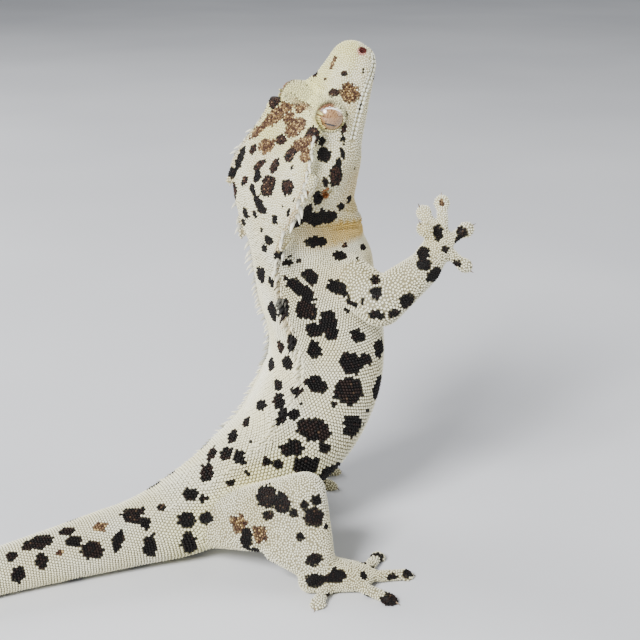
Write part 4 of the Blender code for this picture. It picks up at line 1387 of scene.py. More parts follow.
    def lip_line(self, side: int, shift: float = 0.0) -> Array:
        """The line between the lips on one side, from the corner of the mouth to the nose."""
        return self._line([(behind, corner + shift) for behind, corner in MOUTH_LINE], side)

    def nostril(self, side: int) -> Array:
        """The middle of a nostril."""
        return self.shape.spot(0.9, 2.4, side)[0]

    def ear(self, side: int) -> Array:
        """The two ends of an ear's slit."""
        return self._line(EAR_SLIT, side)

    def lip_gap(self, points: Array) -> Array:
        """How far points lie from the line between the lips."""
        gap = np.full(len(points), FAR_AWAY)
        for side in SIDES:
            route = self.lip_line(side)
            for start, end in zip(route, route[1:]):
                gap = np.minimum(gap, line_gap(points, start, end))
        return gap

    def _sculpt_head(self) -> None:
        """Brows, cheeks, hollows, lips, nostrils, ears and the creases of the throat."""
        self.raised = np.zeros(len(self.points))
        self.press = np.zeros(len(self.points))
        for behind, corner, radius, height in SWELLS:
            self._swell(behind, corner, radius, height if height < 0 else min(height, self.depth + 0.25))
        self.points += self.normals * self.raised[:, None]
        for side in SIDES:
            self._groove(self.lip_line(side), 0.42, 0.24)
            nostril = self.nostril(side)
            self._groove(np.array([nostril, nostril + 0.05]), 0.9, 0.42)
            self._groove(self.ear(side), 1.2, 0.5)
            for stops in THROAT_CREASES:
                self._groove(self._line(stops, side), 0.35, 0.5)
        ring = self.shape.rings(self.shape.place(0.2))
        middle = ring.centre[0] - ring.up[0] * 2.35
        ends = [self.lip_line(side)[-1] for side in SIDES]
        self._groove(np.array([ends[0], middle + ring.side[0] * 1.2, middle - ring.side[0] * 1.2, ends[1]]), 0.35, 0.24)
        self.points -= self.normals * self.press[:, None]

    def _open_eyes(self) -> None:
        """Sink the skin behind the eyeballs."""
        for side in SIDES:
            sink = self.eye_sink * smooth_share((0.98 - self.lid_share(self.points, side)) / self.lid_fade)
            self.points -= self.eye(side)[1] * sink[:, None]

    def build(self) -> Object:
        """Join, remesh, smooth and sculpt the skin.

        Returns:
            The skin, not yet coloured.
        """
        self.body = self._loft()
        others = [hull for limb in LIMBS for hull in self._limb(limb)]
        for side in SIDES:
            others += [self._flap(side, *flap) for flap in self.flaps]
        only_select(self.body)
        for other in others:
            other.select_set(True)
        bpy.ops.object.join()
        remesh = self.body.modifiers.new("Voxels", "REMESH")
        remesh.mode = "VOXEL"
        remesh.voxel_size = self.voxel * MM
        bpy.ops.object.modifier_apply(modifier=remesh.name)
        points = read_points(self.body)
        points = self._relax(points, np.ones((len(points), 1)), 6, 0.52)
        roots = np.array([joint for limb in LIMBS for joint in (limb.root, limb.bend, limb.wrist)])
        sizes = np.array([6.5, 3.0, 2.5] * len(LIMBS))
        near = np.exp(-((lengths(points[:, None] - roots) / sizes) ** 2)).max(1)
        points = self._relax(points, near[:, None], 14, 0.0)
        write_points(self.body, points)
        self._refine_head()
        self.points = read_points(self.body)
        self.normals = read_normals(self.body)
        self._sculpt_head()
        self._open_eyes()
        self.points[:, 2] = np.maximum(self.points[:, 2], FLOOR_GAP)
        write_points(self.body, self.points)
        self.body.data.shade_smooth()
        self.normals = read_normals(self.body)
        self.faces = [tuple(face.vertices) for face in self.body.data.polygons]
        self.tree = BVHTree.FromPolygons([tuple(point) for point in self.points], self.faces)
        return self.body

    def _refine_head(self) -> None:
        """Give the head a mesh twice as fine, for its lips, nostrils and creases."""
        points = read_points(self.body)
        behind = self._behind(points)
        near = lengths(points - np.array(self.shape.snout)) < self.head_reach
        keep = (behind < self.head_end) & near & (points[:, 0] <= self.arms_ahead)
        only_select(self.body)
        self.body.data.polygons.foreach_set("select", np.zeros(len(self.body.data.polygons), bool))
        self.body.data.edges.foreach_set("select", np.zeros(len(self.body.data.edges), bool))
        self.body.data.vertices.foreach_set("select", keep)
        bpy.ops.object.mode_set(mode="EDIT")
        bpy.ops.mesh.select_mode(type="VERT")
        bpy.ops.mesh.subdivide(number_cuts=1)
        bpy.ops.object.mode_set(mode="OBJECT")
        points = read_points(self.body)
        head = (self._behind(points) < self.head_end - 1.0).astype(float)[:, None]
        write_points(self.body, self._relax(points, head, 2, 0.52))

    def hit(self, start: Array, way: Array) -> tuple[Array, Array] | None:
        """Where a ray first meets the skin, and the way out of it there."""
        point, normal, _, _ = self.tree.ray_cast(Vector(start), Vector(way))
        return None if point is None else (np.array(point), np.array(normal))

    def settle(self, points: Array) -> tuple[Array, Array, Array]:
        """The nearest places on the skin.

        Args:
            points: Places near it.

        Returns:
            Places on the skin, the smooth way out at each, and how far each moved.
        """
        found = [self.tree.find_nearest(Vector(point)) for point in points]
        places = np.array([hit[0][:] for hit in found])
        outward = unit(np.array([self.normals[list(self.faces[hit[2]])].mean(0) for hit in found]))
        return places, outward, np.array([hit[3] for hit in found])


@dataclass
class Markings:
    """The colours of skin and scales, from spots in the camera's view and a scatter of spots elsewhere.

    Attributes:
        skin: The skin that they lie on.
        view: The camera whose view places the listed spots.
        seed: Seed of the scatter.
        cream, buff, tan, lime: The ground.
        dark, brown, russet, sand: The markings, their hearts and the stipple.
        ear, nostril, blush, mouth: The openings and what is round them.
        centres: The markings, as places on the skin.
        accents: Places with a colour of their own.
        bare: Places that the scatter leaves free.
        ear, nostril, blush, mouth: The openings and what is round them, nostril the painted shade inside a nostril's
            opening.
        samples, grid: Points of the body's surface, and the place and corner number of each.
        eye_room, nostril_room: How far the scatter stays from the eyes and the nostrils.
        tries: How many places the scatter tries.
        facing: From which slant towards the camera on a place counts as seen.
        apart: How far spots of the scatter stay apart, for a radius of one.
        foot_reach: How far from a palm its spots are small.
    """

    skin: Skin
    view: View
    seed: int = 5
    cream: Colour = (250, 247, 224)
    buff: Colour = (232, 222, 172)
    tan: Colour = (216, 184, 104)
    lime: Colour = (240, 236, 160)
    dark: Colour = (12, 8, 7)
    brown: Colour = (56, 34, 26)
    russet: Colour = (116, 90, 66)
    sand: Colour = (186, 156, 106)
    ear: Colour = (150, 88, 40)
    nostril: Colour = (84, 30, 26)
    blush: Colour = (226, 172, 158)
    mouth: Colour = (136, 118, 96)
    eye_room: float = 6.0
    nostril_room: float = 4.6
    tries: int = 9000
    facing: float = -0.28
    apart: float = 1.45
    foot_reach: float = 9.0
    centres: list = field(init=False, default_factory=list)
    accents: list = field(init=False)
    bare: list = field(init=False)
    waves: Array = field(init=False)
    phases: Array = field(init=False)
    samples: KDTree = field(init=False)
    grid: Array = field(init=False)

    def __post_init__(self) -> None:
        """Prepare the noise and the map of the body, then place every spot."""
        draw = np.random.default_rng(self.seed)
        self.waves = unit(draw.normal(size=(24, 3))) * (math.tau / np.repeat((1.1, 2.6, 9.0), 8))[:, None]
        self.phases = draw.uniform(0.0, math.tau, 24)
        self._map_body()
        self._list_spots()
        self._scatter_spots(draw)

    def _map_body(self) -> None:
        """Sample the body's surface, to tell how far back and how far round a place lies."""
        shape = self.skin.shape
        places = np.linspace(0.0, shape.snout_key, 420)
        corners = np.arange(0.0, CORNERS, 0.16)
        grid_place, grid_corner = (grid.ravel() for grid in np.meshgrid(places, corners, indexing="ij"))
        points, _, _ = shape.surface(grid_place, grid_corner)
        self.grid = np.stack([grid_place, grid_corner], axis=1)
        self.samples = tree_of(points)

    def locate(self, points: Array) -> tuple[Array, Array, Array]:
        """Where points lie on the body.

        Args:
            points: Places on the skin.

        Returns:
            Places along the path, corner numbers, and how far from the body's own surface each lies.
        """
        found = [self.samples.find(Vector(point)) for point in points]
        number = np.array([hit[1] for hit in found])
        return self.grid[number, 0], self.grid[number, 1], np.array([hit[2] for hit in found])

    def ripple(self, points: Array, size: int) -> Array:
        """Smooth noise from -1 to 1, fine for size 0, middling for 1 and slow for 2."""
        rows = slice(size * 8, size * 8 + 8)
        return np.sin(points @ self.waves[rows].T + self.phases[rows]).mean(1) * 2.0

    def _list_spots(self) -> None:
        """Place the listed spots where the camera's rays meet the skin, and what colours nostrils and ears."""
        self.accents = []
        self.bare = [(self.skin.eye(side)[0], self.eye_room) for side in SIDES]
        self.bare += [(self.skin.nostril(side), self.nostril_room) for side in SIDES]
        for side in SIDES:
            nostril, ear = self.skin.nostril(side), self.skin.ear(side).mean(0)
            # Each nostril's opening gets a dark spot of painted shade, set a little inside the skin.
            deep = nostril - self.skin.shape.spot(0.9, 2.4, side)[1] * 0.65
            self.accents += [(nostril, 1.1, self.blush), (deep, 0.95, self.nostril), (ear, 1.3, self.ear)]
        right, up, back = self.view.axes()
        stand = self.view.stand()
        for spot in (Spot(*row) for row in HEAD_SPOTS + NECK_SPOTS + TORSO_SPOTS + TAIL_SPOTS + LIMB_SPOTS):
            hit = self.skin.hit(stand, self.view.ray(spot.across, spot.down))
            if hit is None:
                LOG.warning("no skin under the spot at %s, %s", spot.across, spot.down)
                continue
            scale = float((stand - hit[0]) @ back) / self.view.focal
            lean = math.radians(spot.lean)
            wide = right * math.cos(lean) - up * math.sin(lean)
            tall = right * math.sin(lean) + up * math.cos(lean)
            reach = max(spot.width, spot.height) * scale * 0.9
            axes = np.array((wide / (spot.width * scale / 2), tall / (spot.height * scale / 2), back / reach))
            self.centres.append((hit[0], axes, spot.tone, reach * 1.3))

    def _scatter_spots(self, draw: np.random.Generator) -> None:
        """Spots of like size and spread on what the camera doesn't see."""
        stand = self.view.stand()
        order = draw.permutation(len(self.skin.points))[: self.tries]
        placed: list[tuple[Array, float]] = [(centre, reach / 1.17) for centre, _, _, reach in self.centres]
        for n in order:
            point, outward = self.skin.points[n], self.skin.normals[n]
            towards = unit(stand - point)
            if outward @ towards > self.facing and self.skin.hit(point + outward * 0.4, towards) is None:
                continue
            if any(np.linalg.norm(point - middle) < room for middle, room in self.bare):
                continue
            radius = draw.uniform(0.9, 2.1) * (0.5 if self._fine(point) else 1.0)
            if any(np.linalg.norm(point - other) < self.apart * radius + size for other, size in placed):
                continue
            placed.append((point, radius))
            way = unit(np.cross(outward, draw.normal(size=3)))
            stretch = draw.uniform(1.0, 1.5)
            axes = np.array((way / (radius * stretch), np.cross(outward, way) / radius, outward / (radius * 1.5)))
            tone = Tone.DEEP if draw.random() < 0.25 else Tone.DARK
            self.centres.append((point, axes, tone, radius * 1.8))

    def _fine(self, point: Array) -> bool:
        """Whether a place is on a hand or foot, where spots are small."""
        return any(np.linalg.norm(point - np.array(limb.palm[-1][0])) < self.foot_reach for limb in LIMBS)

    def colour(self, points: Array, draw: np.random.Generator, each: float) -> Array:
        """The marking at each point.

        Args:
            points: Places on the skin.
            draw: Source of the change from scale to scale.
            each: How much a scale differs from the next.

        Returns:
            Linear colours.
        """
        place, corner, off = self.locate(points)
        behind = self.skin.shape.behind(place)
        low = np.where(corner > THROAT, CORNERS - corner, corner)
        on_body = smooth_share((1.6 - off) / 0.8)
        slow, middling, fine = (self.ripple(points, size) for size in (2, 1, 0))
        colours = np.broadcast_to(linear(*self.cream), (len(points), 3)).copy()

        def tint(share: Array, tone: Array) -> None:
            """Move the colours towards a tone by a share."""
            colours[:] = colours + (tone - colours) * np.clip(share, 0.0, 1.0)[:, None]

        def band(start: float, end: float, edge: float) -> Array:
            """How far places lie within a length of the body."""
            return smooth_share((behind - start) / edge) * smooth_share((end - behind) / edge)

        tint(0.35 + 0.25 * slow, linear(*self.buff))
        grounds = {"tan": linear(*self.tan), "lime": linear(*self.lime)}
        for wash in WASHES:
            share = on_body * band(wash.start, wash.end, wash.edge) * smooth_share((low - wash.corner) / wash.run)
            tint(share * (wash.strength + wash.sway * slow), grounds[wash.tone])
        # A band of sand along the crest's corner: partly the skin's own tan, partly painted shade at the roots of the
        # spines.
        tint(on_body * band(15.0, 56.0, 3.0) * np.exp(-(((low - 1.05) / 0.13) ** 2)) * 0.5, linear(*self.sand))
        for centre, reach, tone in self.accents:
            tint(smooth_share((reach - lengths(points - centre)) / 0.35), linear(*tone))
        tint(smooth_share((0.3 - self.skin.lip_gap(points)) / 0.12), linear(*self.mouth))
        jag = 0.12 * middling + 0.06 * fine + each * draw.normal(size=len(points))
        shade = draw.random(len(points))
        for centre, axes, tone, reach in self.centres:
            near = np.flatnonzero(np.abs(points - centre).max(1) < reach)
            if not len(near):
                continue
            out = lengths((points[near] - centre) @ axes.T) + jag[near]
            self._dab(colours, near[out < 1.0], out[out < 1.0], tone, shade)
        grain = 1.0 + each * 0.9 * draw.normal(size=(len(points), 1)) * 0.6
        return np.clip(colours * grain, 0.0, 1.0)

    def _dab(self, colours: Array, which: Array, out: Array, tone: Tone, shade: Array) -> None:
        """Colour the places inside one spot.

        Args:
            colours: The colours to change.
            which: Numbers of the places.
            out: How far out in the spot each lies, 1 at its edge.
            tone: The spot's kind.
            shade: A random share for every place.
        """
        dark, brown, russet = linear(*self.dark), linear(*self.brown), linear(*self.russet)
        if tone is Tone.DARK:
            colours[which] = dark + (brown - dark) * (0.3 * (shade[which] > 0.85))[:, None]
        elif tone is not Tone.TAN:
            heart = (out < 0.85) & (shade[which] > 0.3)
            pale = (out < 0.7) & (shade[which] > 0.9)
            faint = 0.34 if tone is Tone.DEEP else 1.0
            mixed = np.where(heart[:, None], dark + (brown - dark) * faint, dark)
            colours[which] = np.where(pale[:, None], dark + (russet - dark) * faint, mixed)
        else:
            sand = linear(*self.sand)
            mixed = np.where((shade[which] < 0.36)[:, None], brown * 1.6, russet)
            mixed = np.where((shade[which] > 0.74)[:, None], sand, mixed)
            keep = (out > 0.85) & (shade[which] > 0.6)
            colours[which] = np.where(keep[:, None], colours[which], mixed)


@dataclass
class Coat:
    """The scales: granules in rows round the body, and packed close on limbs, hands and feet.

    Attributes:
        skin: The skin that they stand on.
        markings: Their colours.
        bones: The limbs' lengths.
        finish: The skin's own finish.
        seed: Seed of every draw.
        body_pitch and the rest ending in pitch: How far apart the scales stand there.
        arms_above: The height from which a limb is an arm.
        rows_from: Where the body's rows start, behind the snout.
        row_step: How far a row lies from the next, for scales one apart.
        bare_from: How far from any scale in rows the skin counts as bare.
        darts: How many places are tried for each scale off the rows.
        closest: How near each other those may stand, for scales one apart.
        spread_rounds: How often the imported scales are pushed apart.
        off_floor: The height up to which the skin stays bare.
        opening_room, lip_room: How far scales stay from ears and nostrils, and from the line of the mouth.
        limit: The most scales in one piece.
    """

    skin: Skin
    markings: Markings
    bones: Bones
    finish: Material
    seed: int = 7
    body_pitch: float = 0.6
    flank_pitch: float = 0.68
    belly_pitch: float = 0.76
    head_pitch: float = 0.44
    snout_pitch: float = 0.4
    tail_pitch: float = 0.58
    limb_pitch: float = 0.49
    arm_pitch: float = 0.6
    arms_above: float = 35.0
    toe_pitch: float = 0.42
    rows_from: float = 33.5
    row_step: float = 0.87
    bare_from: float = 0.5
    darts: float = 11
    closest: float = 0.82
    spread_rounds: int = 4
    off_floor: float = 0.22
    opening_room: float = 0.6
    lip_room: float = 0.75
    limit: int = 9000

    def granule(self) -> Template:
        """One scale: a low six-sided dome whose point leans back."""
        made = cone(6, 0.54, 0.34, 0.8, 0.2)
        bpy.ops.object.mode_set(mode="EDIT")
        bpy.ops.mesh.select_all(action="DESELECT")
        shaped = bmesh.from_edit_mesh(made.data)
        for face in shaped.faces:
            face.select_set(face.normal.z > 0.9)
        bpy.ops.mesh.poke()
        shaped = bmesh.from_edit_mesh(made.data)
        top = max(corner.co.z for corner in shaped.verts)
        for corner in shaped.verts:
            if corner.co.z > top - 1e-6 and corner.co.xy.length < 0.01:
                corner.co += Vector((0.18, 0.0, 0.45))
            elif corner.co.z > top - 1e-6:
                corner.co.x += 0.08
        bpy.ops.object.mode_set(mode="OBJECT")
        return Template.take(made)

    def pitch(self, behind: Array) -> Array:
        """How far apart scales stand on the body, by distance behind the snout."""
        stops = (0.0, 8.0, 18.0, 38.0, 52.0, 68.0, 82.0, 104.0, 118.0, 200.0)
        sizes = (
            self.snout_pitch, self.snout_pitch, self.head_pitch, self.head_pitch, self.body_pitch,
            self.flank_pitch, self.belly_pitch, self.belly_pitch, self.body_pitch, self.tail_pitch,
        )
        return np.interp(behind, stops, sizes)

    def _rows(self) -> tuple[Array, Array]:
        """Places and corners of scales in rows round the body."""
        shape = self.skin.shape
        places, corners = [], []
        behind, row = self.rows_from, 0
        last = float(shape.reach[0]) - 1.0
        probe = np.linspace(0.0, CORNERS, 41)
        while behind < last:
            place = float(shape.place(behind)[0])
            pitch = float(self.pitch(np.array(behind)))
            rings = shape.rings(np.full(len(probe), place))
            outline = shape.outline(rings, probe)
            gone = gone_along(outline)
            count = max(6, round(gone[-1] / pitch))
            steps = (np.arange(count) + 0.5 * (row % 2)) / count * gone[-1]
            corners.append(np.interp(steps, gone, probe))
            places.append(np.full(count, place))
            behind += pitch * self.row_step
            row += 1
        return np.concatenate(places), np.concatenate(corners)

    def _fill(self, taken: Array, draw: np.random.Generator) -> Array:
        """Places for scales on the skin that the rows leave bare, packed close.

        Args:
            taken: Where scales already stand.
            draw: Source of the candidates.

        Returns:
            The new places.
        """
        mesh = self.skin.body.data
        mesh.calc_loop_triangles()
        corners = np.empty(len(mesh.loop_triangles) * 3, int)
        mesh.loop_triangles.foreach_get("vertices", corners)
        a, b, c = (self.skin.points[corners.reshape(-1, 3)[:, n]] for n in range(3))
        tree = tree_of(taken)
        middle = (a + b + c) / 3
        bare = np.array([tree.find(Vector(point))[2] > self.bare_from for point in middle])
        a, b, c = a[bare], b[bare], c[bare]
        area = lengths(np.cross(b - a, c - a)) / 2
        count = int(area.sum() / (self.toe_pitch**2) * self.darts)
        pick = draw.choice(len(a), count, p=area / area.sum())
        u, v = draw.random((2, count))
        flip = u + v > 1
        u[flip], v[flip] = 1 - u[flip], 1 - v[flip]
        points = a[pick] + (b[pick] - a[pick]) * u[:, None] + (c[pick] - a[pick]) * v[:, None]
        gap = self._local_pitch(points) * self.closest
        cells: dict[tuple, list] = {}
        size = self.arm_pitch
        for point in taken:
            cells.setdefault(tuple((point // size).astype(int)), []).append(point)
        chosen = []
        keys = np.floor(points / size).astype(int)
        shifts = [(i, j, k) for i in (-1, 0, 1) for j in (-1, 0, 1) for k in (-1, 0, 1)]
        for point, key, near in zip(points, keys, gap):
            i, j, k = key
            around = [other for di, dj, dk in shifts for other in cells.get((i + di, j + dj, k + dk), ())]
            if around and (((np.array(around) - point) ** 2).sum(1) < near * near).any():
                continue
            cells.setdefault((i, j, k), []).append(point)
            chosen.append(point)
        points = np.array(chosen)
        return self._spread(points, taken, self._local_pitch(points) * 1.06, self.spread_rounds)

    def _spread(self, points: Array, fixed: Array, room: Array, rounds: int) -> Array:
        """Push places apart along the skin until they lie evenly.

        Args:
            points: The places to move.
            fixed: Places that stay.
            room: How far from its neighbours each should lie.
            rounds: How many times to push.

        Returns:
            The moved places.
        """
        room = room[:, None]
        for _ in range(rounds):
            every = np.concatenate([points, fixed])
            tree = tree_of(every)
            near = np.array([[hit[1] for hit in tree.find_n(Vector(point), 7)][1:] for point in points])
            apart = points[:, None] - every[near]
            gap = np.maximum(lengths(apart), 1e-6)
            push = np.clip(room - gap, 0.0, None) * 0.4 / gap
            points = self.skin.settle(points + (apart * push[..., None]).sum(1))[0]
        return points

    def _local_pitch(self, points: Array) -> Array:
        """How far apart scales stand off the rows: finer on hands, feet and snout."""
        palms = np.array([limb.palm[-1][0] for limb in LIMBS])
        far = lengths(points[:, None] - palms).min(1)
        near_snout = lengths(points - np.array(self.skin.shape.snout))
        wide = np.where(points[:, 2] > self.arms_above, self.arm_pitch, self.limb_pitch)
        pitch = self.toe_pitch + (wide - self.toe_pitch) * smooth_share((far - 3.0) / 9.0)
        return np.where(near_snout < self.rows_from + 4.0, self.pitch(near_snout), pitch)

    def _clear(self, points: Array) -> Array:
        """Which places are clear of the eyes, the nostrils, the ears and the line of the mouth."""
        keep = points[:, 2] > self.off_floor
        for side in SIDES:
            keep &= self.skin.lid_share(points, side) > 1.02
            keep &= lengths(points - self.skin.nostril(side)) > self.opening_room
            ear = self.skin.ear(side)
            for end in (0.0, 0.5, 1.0):
                keep &= lengths(points - ear[0] - (ear[1] - ear[0]) * end) > self.opening_room
        return keep & (self.skin.lip_gap(points) > self.lip_room)

    def roots(self) -> Roots:
        """Find where every scale stands.

        Returns:
            The roots, with their colours and their places on the unwrap.
        """
        draw = np.random.default_rng(self.seed)
        shape = self.skin.shape
        place, corner = self._rows()
        surface, _, backward = shape.surface(place, corner)
        surface = surface + draw.normal(scale=0.07, size=surface.shape)
        points, outward, moved = self.skin.settle(surface)
        keep = moved < 0.75
        place, corner = place[keep], corner[keep]
        points, outward, backward = points[keep], outward[keep], backward[keep]
        pitch = self.pitch(shape.behind(place))
        points = self._spread(points, points[:1], pitch * 1.02, self.spread_rounds)
        points, outward, _ = self.skin.settle(points)
        more = self._fill(points, draw)
        extra, extra_out, _ = self.skin.settle(more)
        extra_place, extra_corner, off = self.markings.locate(extra)
        bone, way, column = self.bones.locate(extra)
        on_body = off < 0.9
        rings = shape.rings(extra_place)
        lie = np.where(on_body[:, None], -rings.ahead, way)
        numbers = {region: n for n, region in enumerate(Region)}
        limb_number = np.array([numbers[self.bones.region[n]] for n in bone])
        all_place = np.concatenate([place, extra_place])
        all_corner = np.concatenate([corner, extra_corner])
        region, bake = self._unwrap(all_place, all_corner, numbers)
        first = len(place)
        region[first:] = np.where(on_body, region[first:], limb_number)
        bake[first:] = np.where(on_body[:, None], bake[first:], column)
        point = np.concatenate([points, extra])
        out = np.concatenate([outward, extra_out])
        back = np.concatenate([backward, lie])
        back = laid(back, out)
        pitch = np.concatenate([pitch, self._local_pitch(extra) * 1.02])
        behind = shape.behind(all_place)
        body = np.concatenate([np.ones(first, bool), on_body])
        height = np.where(body, np.interp(behind, (10.0, 30.0, 45.0, 110.0), (0.4, 0.44, 0.56, 0.5)), 0.5) * pitch
        colour = self.markings.colour(point, draw, 0.06)
        every = Roots(point, out, back, pitch, height, colour, bake, region)
        return every.some(self._clear(point))

    def _unwrap(self, place: Array, corner: Array, numbers: dict) -> tuple[Array, Array]:
        """Which length of the coat each place belongs to, and where it lies on that length's unwrap."""
        behind = self.skin.shape.behind(place)
        low = np.where(corner > THROAT, CORNERS - corner, corner)
        bounds = [
            (Region.NECK, 33.0, 50.0), (Region.CHEST, 50.0, 69.0), (Region.BELLY, 69.0, 86.0),
            (Region.HIPS, 86.0, 112.0), (Region.TAIL_FRONT, 112.0, 150.0), (Region.TAIL_REAR, 150.0, 260.0),
        ]
        region = np.full(len(place), numbers[Region.CROWN])
        bake = np.stack([behind / 34.0, corner / CORNERS], axis=1)
        region[(behind < 33.0) & (low > 2.0)] = numbers[Region.FACE]
        for name, start, end in bounds:
            inside = (behind >= start) & (behind < end)
            region[inside] = numbers[name]
            bake[inside, 0] = (behind[inside] - start) / min(end - start, 90.0)
        return region, 0.01 + 0.98 * np.clip(bake, 0.0, 1.0)

    def build(self) -> list[Object]:
        """Make the pieces of the coat.

        Returns:
            One object for each length that has scales.
        """
        roots = self.roots()
        granule = self.granule()
        made = []
        for n, region in enumerate(Region):
            some = roots.some(roots.region == n)
            if not len(some.point):
                continue
            for part in range(0, len(some.point), self.limit):
                rows = some.some(np.arange(part, min(part + self.limit, len(some.point))))
                name = f"scales_{region.value}" + (f"_{part // self.limit + 1}" if part else "")
                made.append(granule.repeat(name, rows, rows.pitch, self.finish))
                LOG.info("%s: %d scales", name, len(rows.point))
        return made


class SpineRow(NamedTuple):
    """A row of spines.

    Attributes:
        start, end: Where it runs, behind the snout.
        corner: The corner that it follows.
        step: Its spacing.
        first_length, last_length: Length of its spines at both ends.
        lean: How far they lean back.
    """

    start: float
    end: float
    corner: float
    step: float
    first_length: float
    last_length: float
    lean: float


@dataclass
class Crest:
    """The fringe of pointed scales from over each eye along the head, the nape and the back.

    Attributes:
        skin: The skin that they grow from.
        markings: Their colours.
        finish: The skin's own finish.
        seed: Seed of every draw.
        radius: Half the width of a spine at its root, for a length of one.
        rows: The rows on each side.
    """

    skin: Skin
    markings: Markings
    finish: Material
    seed: int = 3
    radius: float = 0.38
    rows: tuple = (
        SpineRow(16.8, 27.5, 1.12, 0.95, 0.95, 1.5, 0.8),
        SpineRow(27.5, 32.4, 1.15, 1.1, 1.5, 2.3, 1.3),
        SpineRow(34.0, 38.4, 1.1, 1.25, 2.0, 1.9, 1.3),
        SpineRow(39.0, 56.0, 1.0, 1.0, 2.0, 1.8, 0.75),
        SpineRow(56.0, 92.0, 1.0, 0.95, 1.75, 1.3, 0.75),
        SpineRow(44.0, 88.0, 1.2, 0.95, 0.9, 0.75, 0.9),
        SpineRow(92.0, 112.0, 1.0, 0.95, 0.85, 0.6, 0.9),
    )

    def spine(self) -> Template:
        """One spine: a slim six-sided cone that bends back towards its tip."""
        made = cone(6, 1.0, 0.1, 1.2, 0.4)
        cut((0.1, 0.4, 0.7))
        for corner in made.data.vertices:
            rise = max(corner.co.z, 0.0)
            fullness = 1.0 + 0.7 * rise * (1.0 - rise)
            corner.co.x *= self.radius * fullness
            corner.co.y *= self.radius * fullness
            corner.co.x += 0.6 * rise**1.6
            corner.co.z -= 0.12 * rise**2
        return Template.take(made)

    def build(self) -> list[Object]:
        """Make one piece of spines for each side."""
        spine = self.spine()
        made = []
        for side, name in ((RIGHT_SIDE, "crest_right"), (LEFT_SIDE, "crest_left")):
            draw = np.random.default_rng(self.seed + side)
            parts = [self._row(row, side, draw) for row in self.rows]
            place, corner, length, lean = (np.concatenate([part[n] for part in parts]) for n in range(4))
            surface, outward, backward = self.skin.shape.surface(place, corner)
            point, _, _ = self.skin.settle(surface)
            behind = self.skin.shape.behind(place)
            raised = self.skin.shape.rings(place).up * np.interp(behind, (30.0, 42.0), (-0.5, 0.6))[:, None]
            out = unit(outward + raised + backward * (lean - 0.6)[:, None])
            back = laid(backward, out)
            colour = self.markings.colour(point, draw, 0.06)
            pale = linear(*self.markings.cream)
            least = 0.0 if side == RIGHT_SIDE else 0.5
            colour = colour + (pale - colour) * np.interp(behind, (36.0, 48.0), (0.85, least))[:, None]
            bake = np.stack([np.clip(behind / 125.0, 0.0, 1.0), (corner % CORNERS) / CORNERS], axis=1) * 0.98 + 0.01
            roots = Roots(point, out, back, length, length, colour, bake)
            made.append(spine.repeat(name, roots, 0.78 + 0.3 * length, self.finish))
            LOG.info("%s: %d spines", name, len(point))
        return made

    def _row(self, row: SpineRow, side: int, draw: np.random.Generator) -> tuple:
        """Places, corners, lengths and leans of one row."""
        count = int((row.end - row.start) / row.step)
        share = (np.arange(count) + draw.uniform(-0.2, 0.2, count)) / count
        behind = row.start + (row.end - row.start) * share
        corner = row.corner + draw.normal(scale=0.05, size=count)
        corner = corner if side > 0 else CORNERS - corner
        length = row.first_length + (row.last_length - row.first_length) * share
        length = length * draw.uniform(0.75, 1.2, count)
        return self.skin.shape.place(behind), corner, length, row.lean + draw.normal(scale=0.2, size=count)


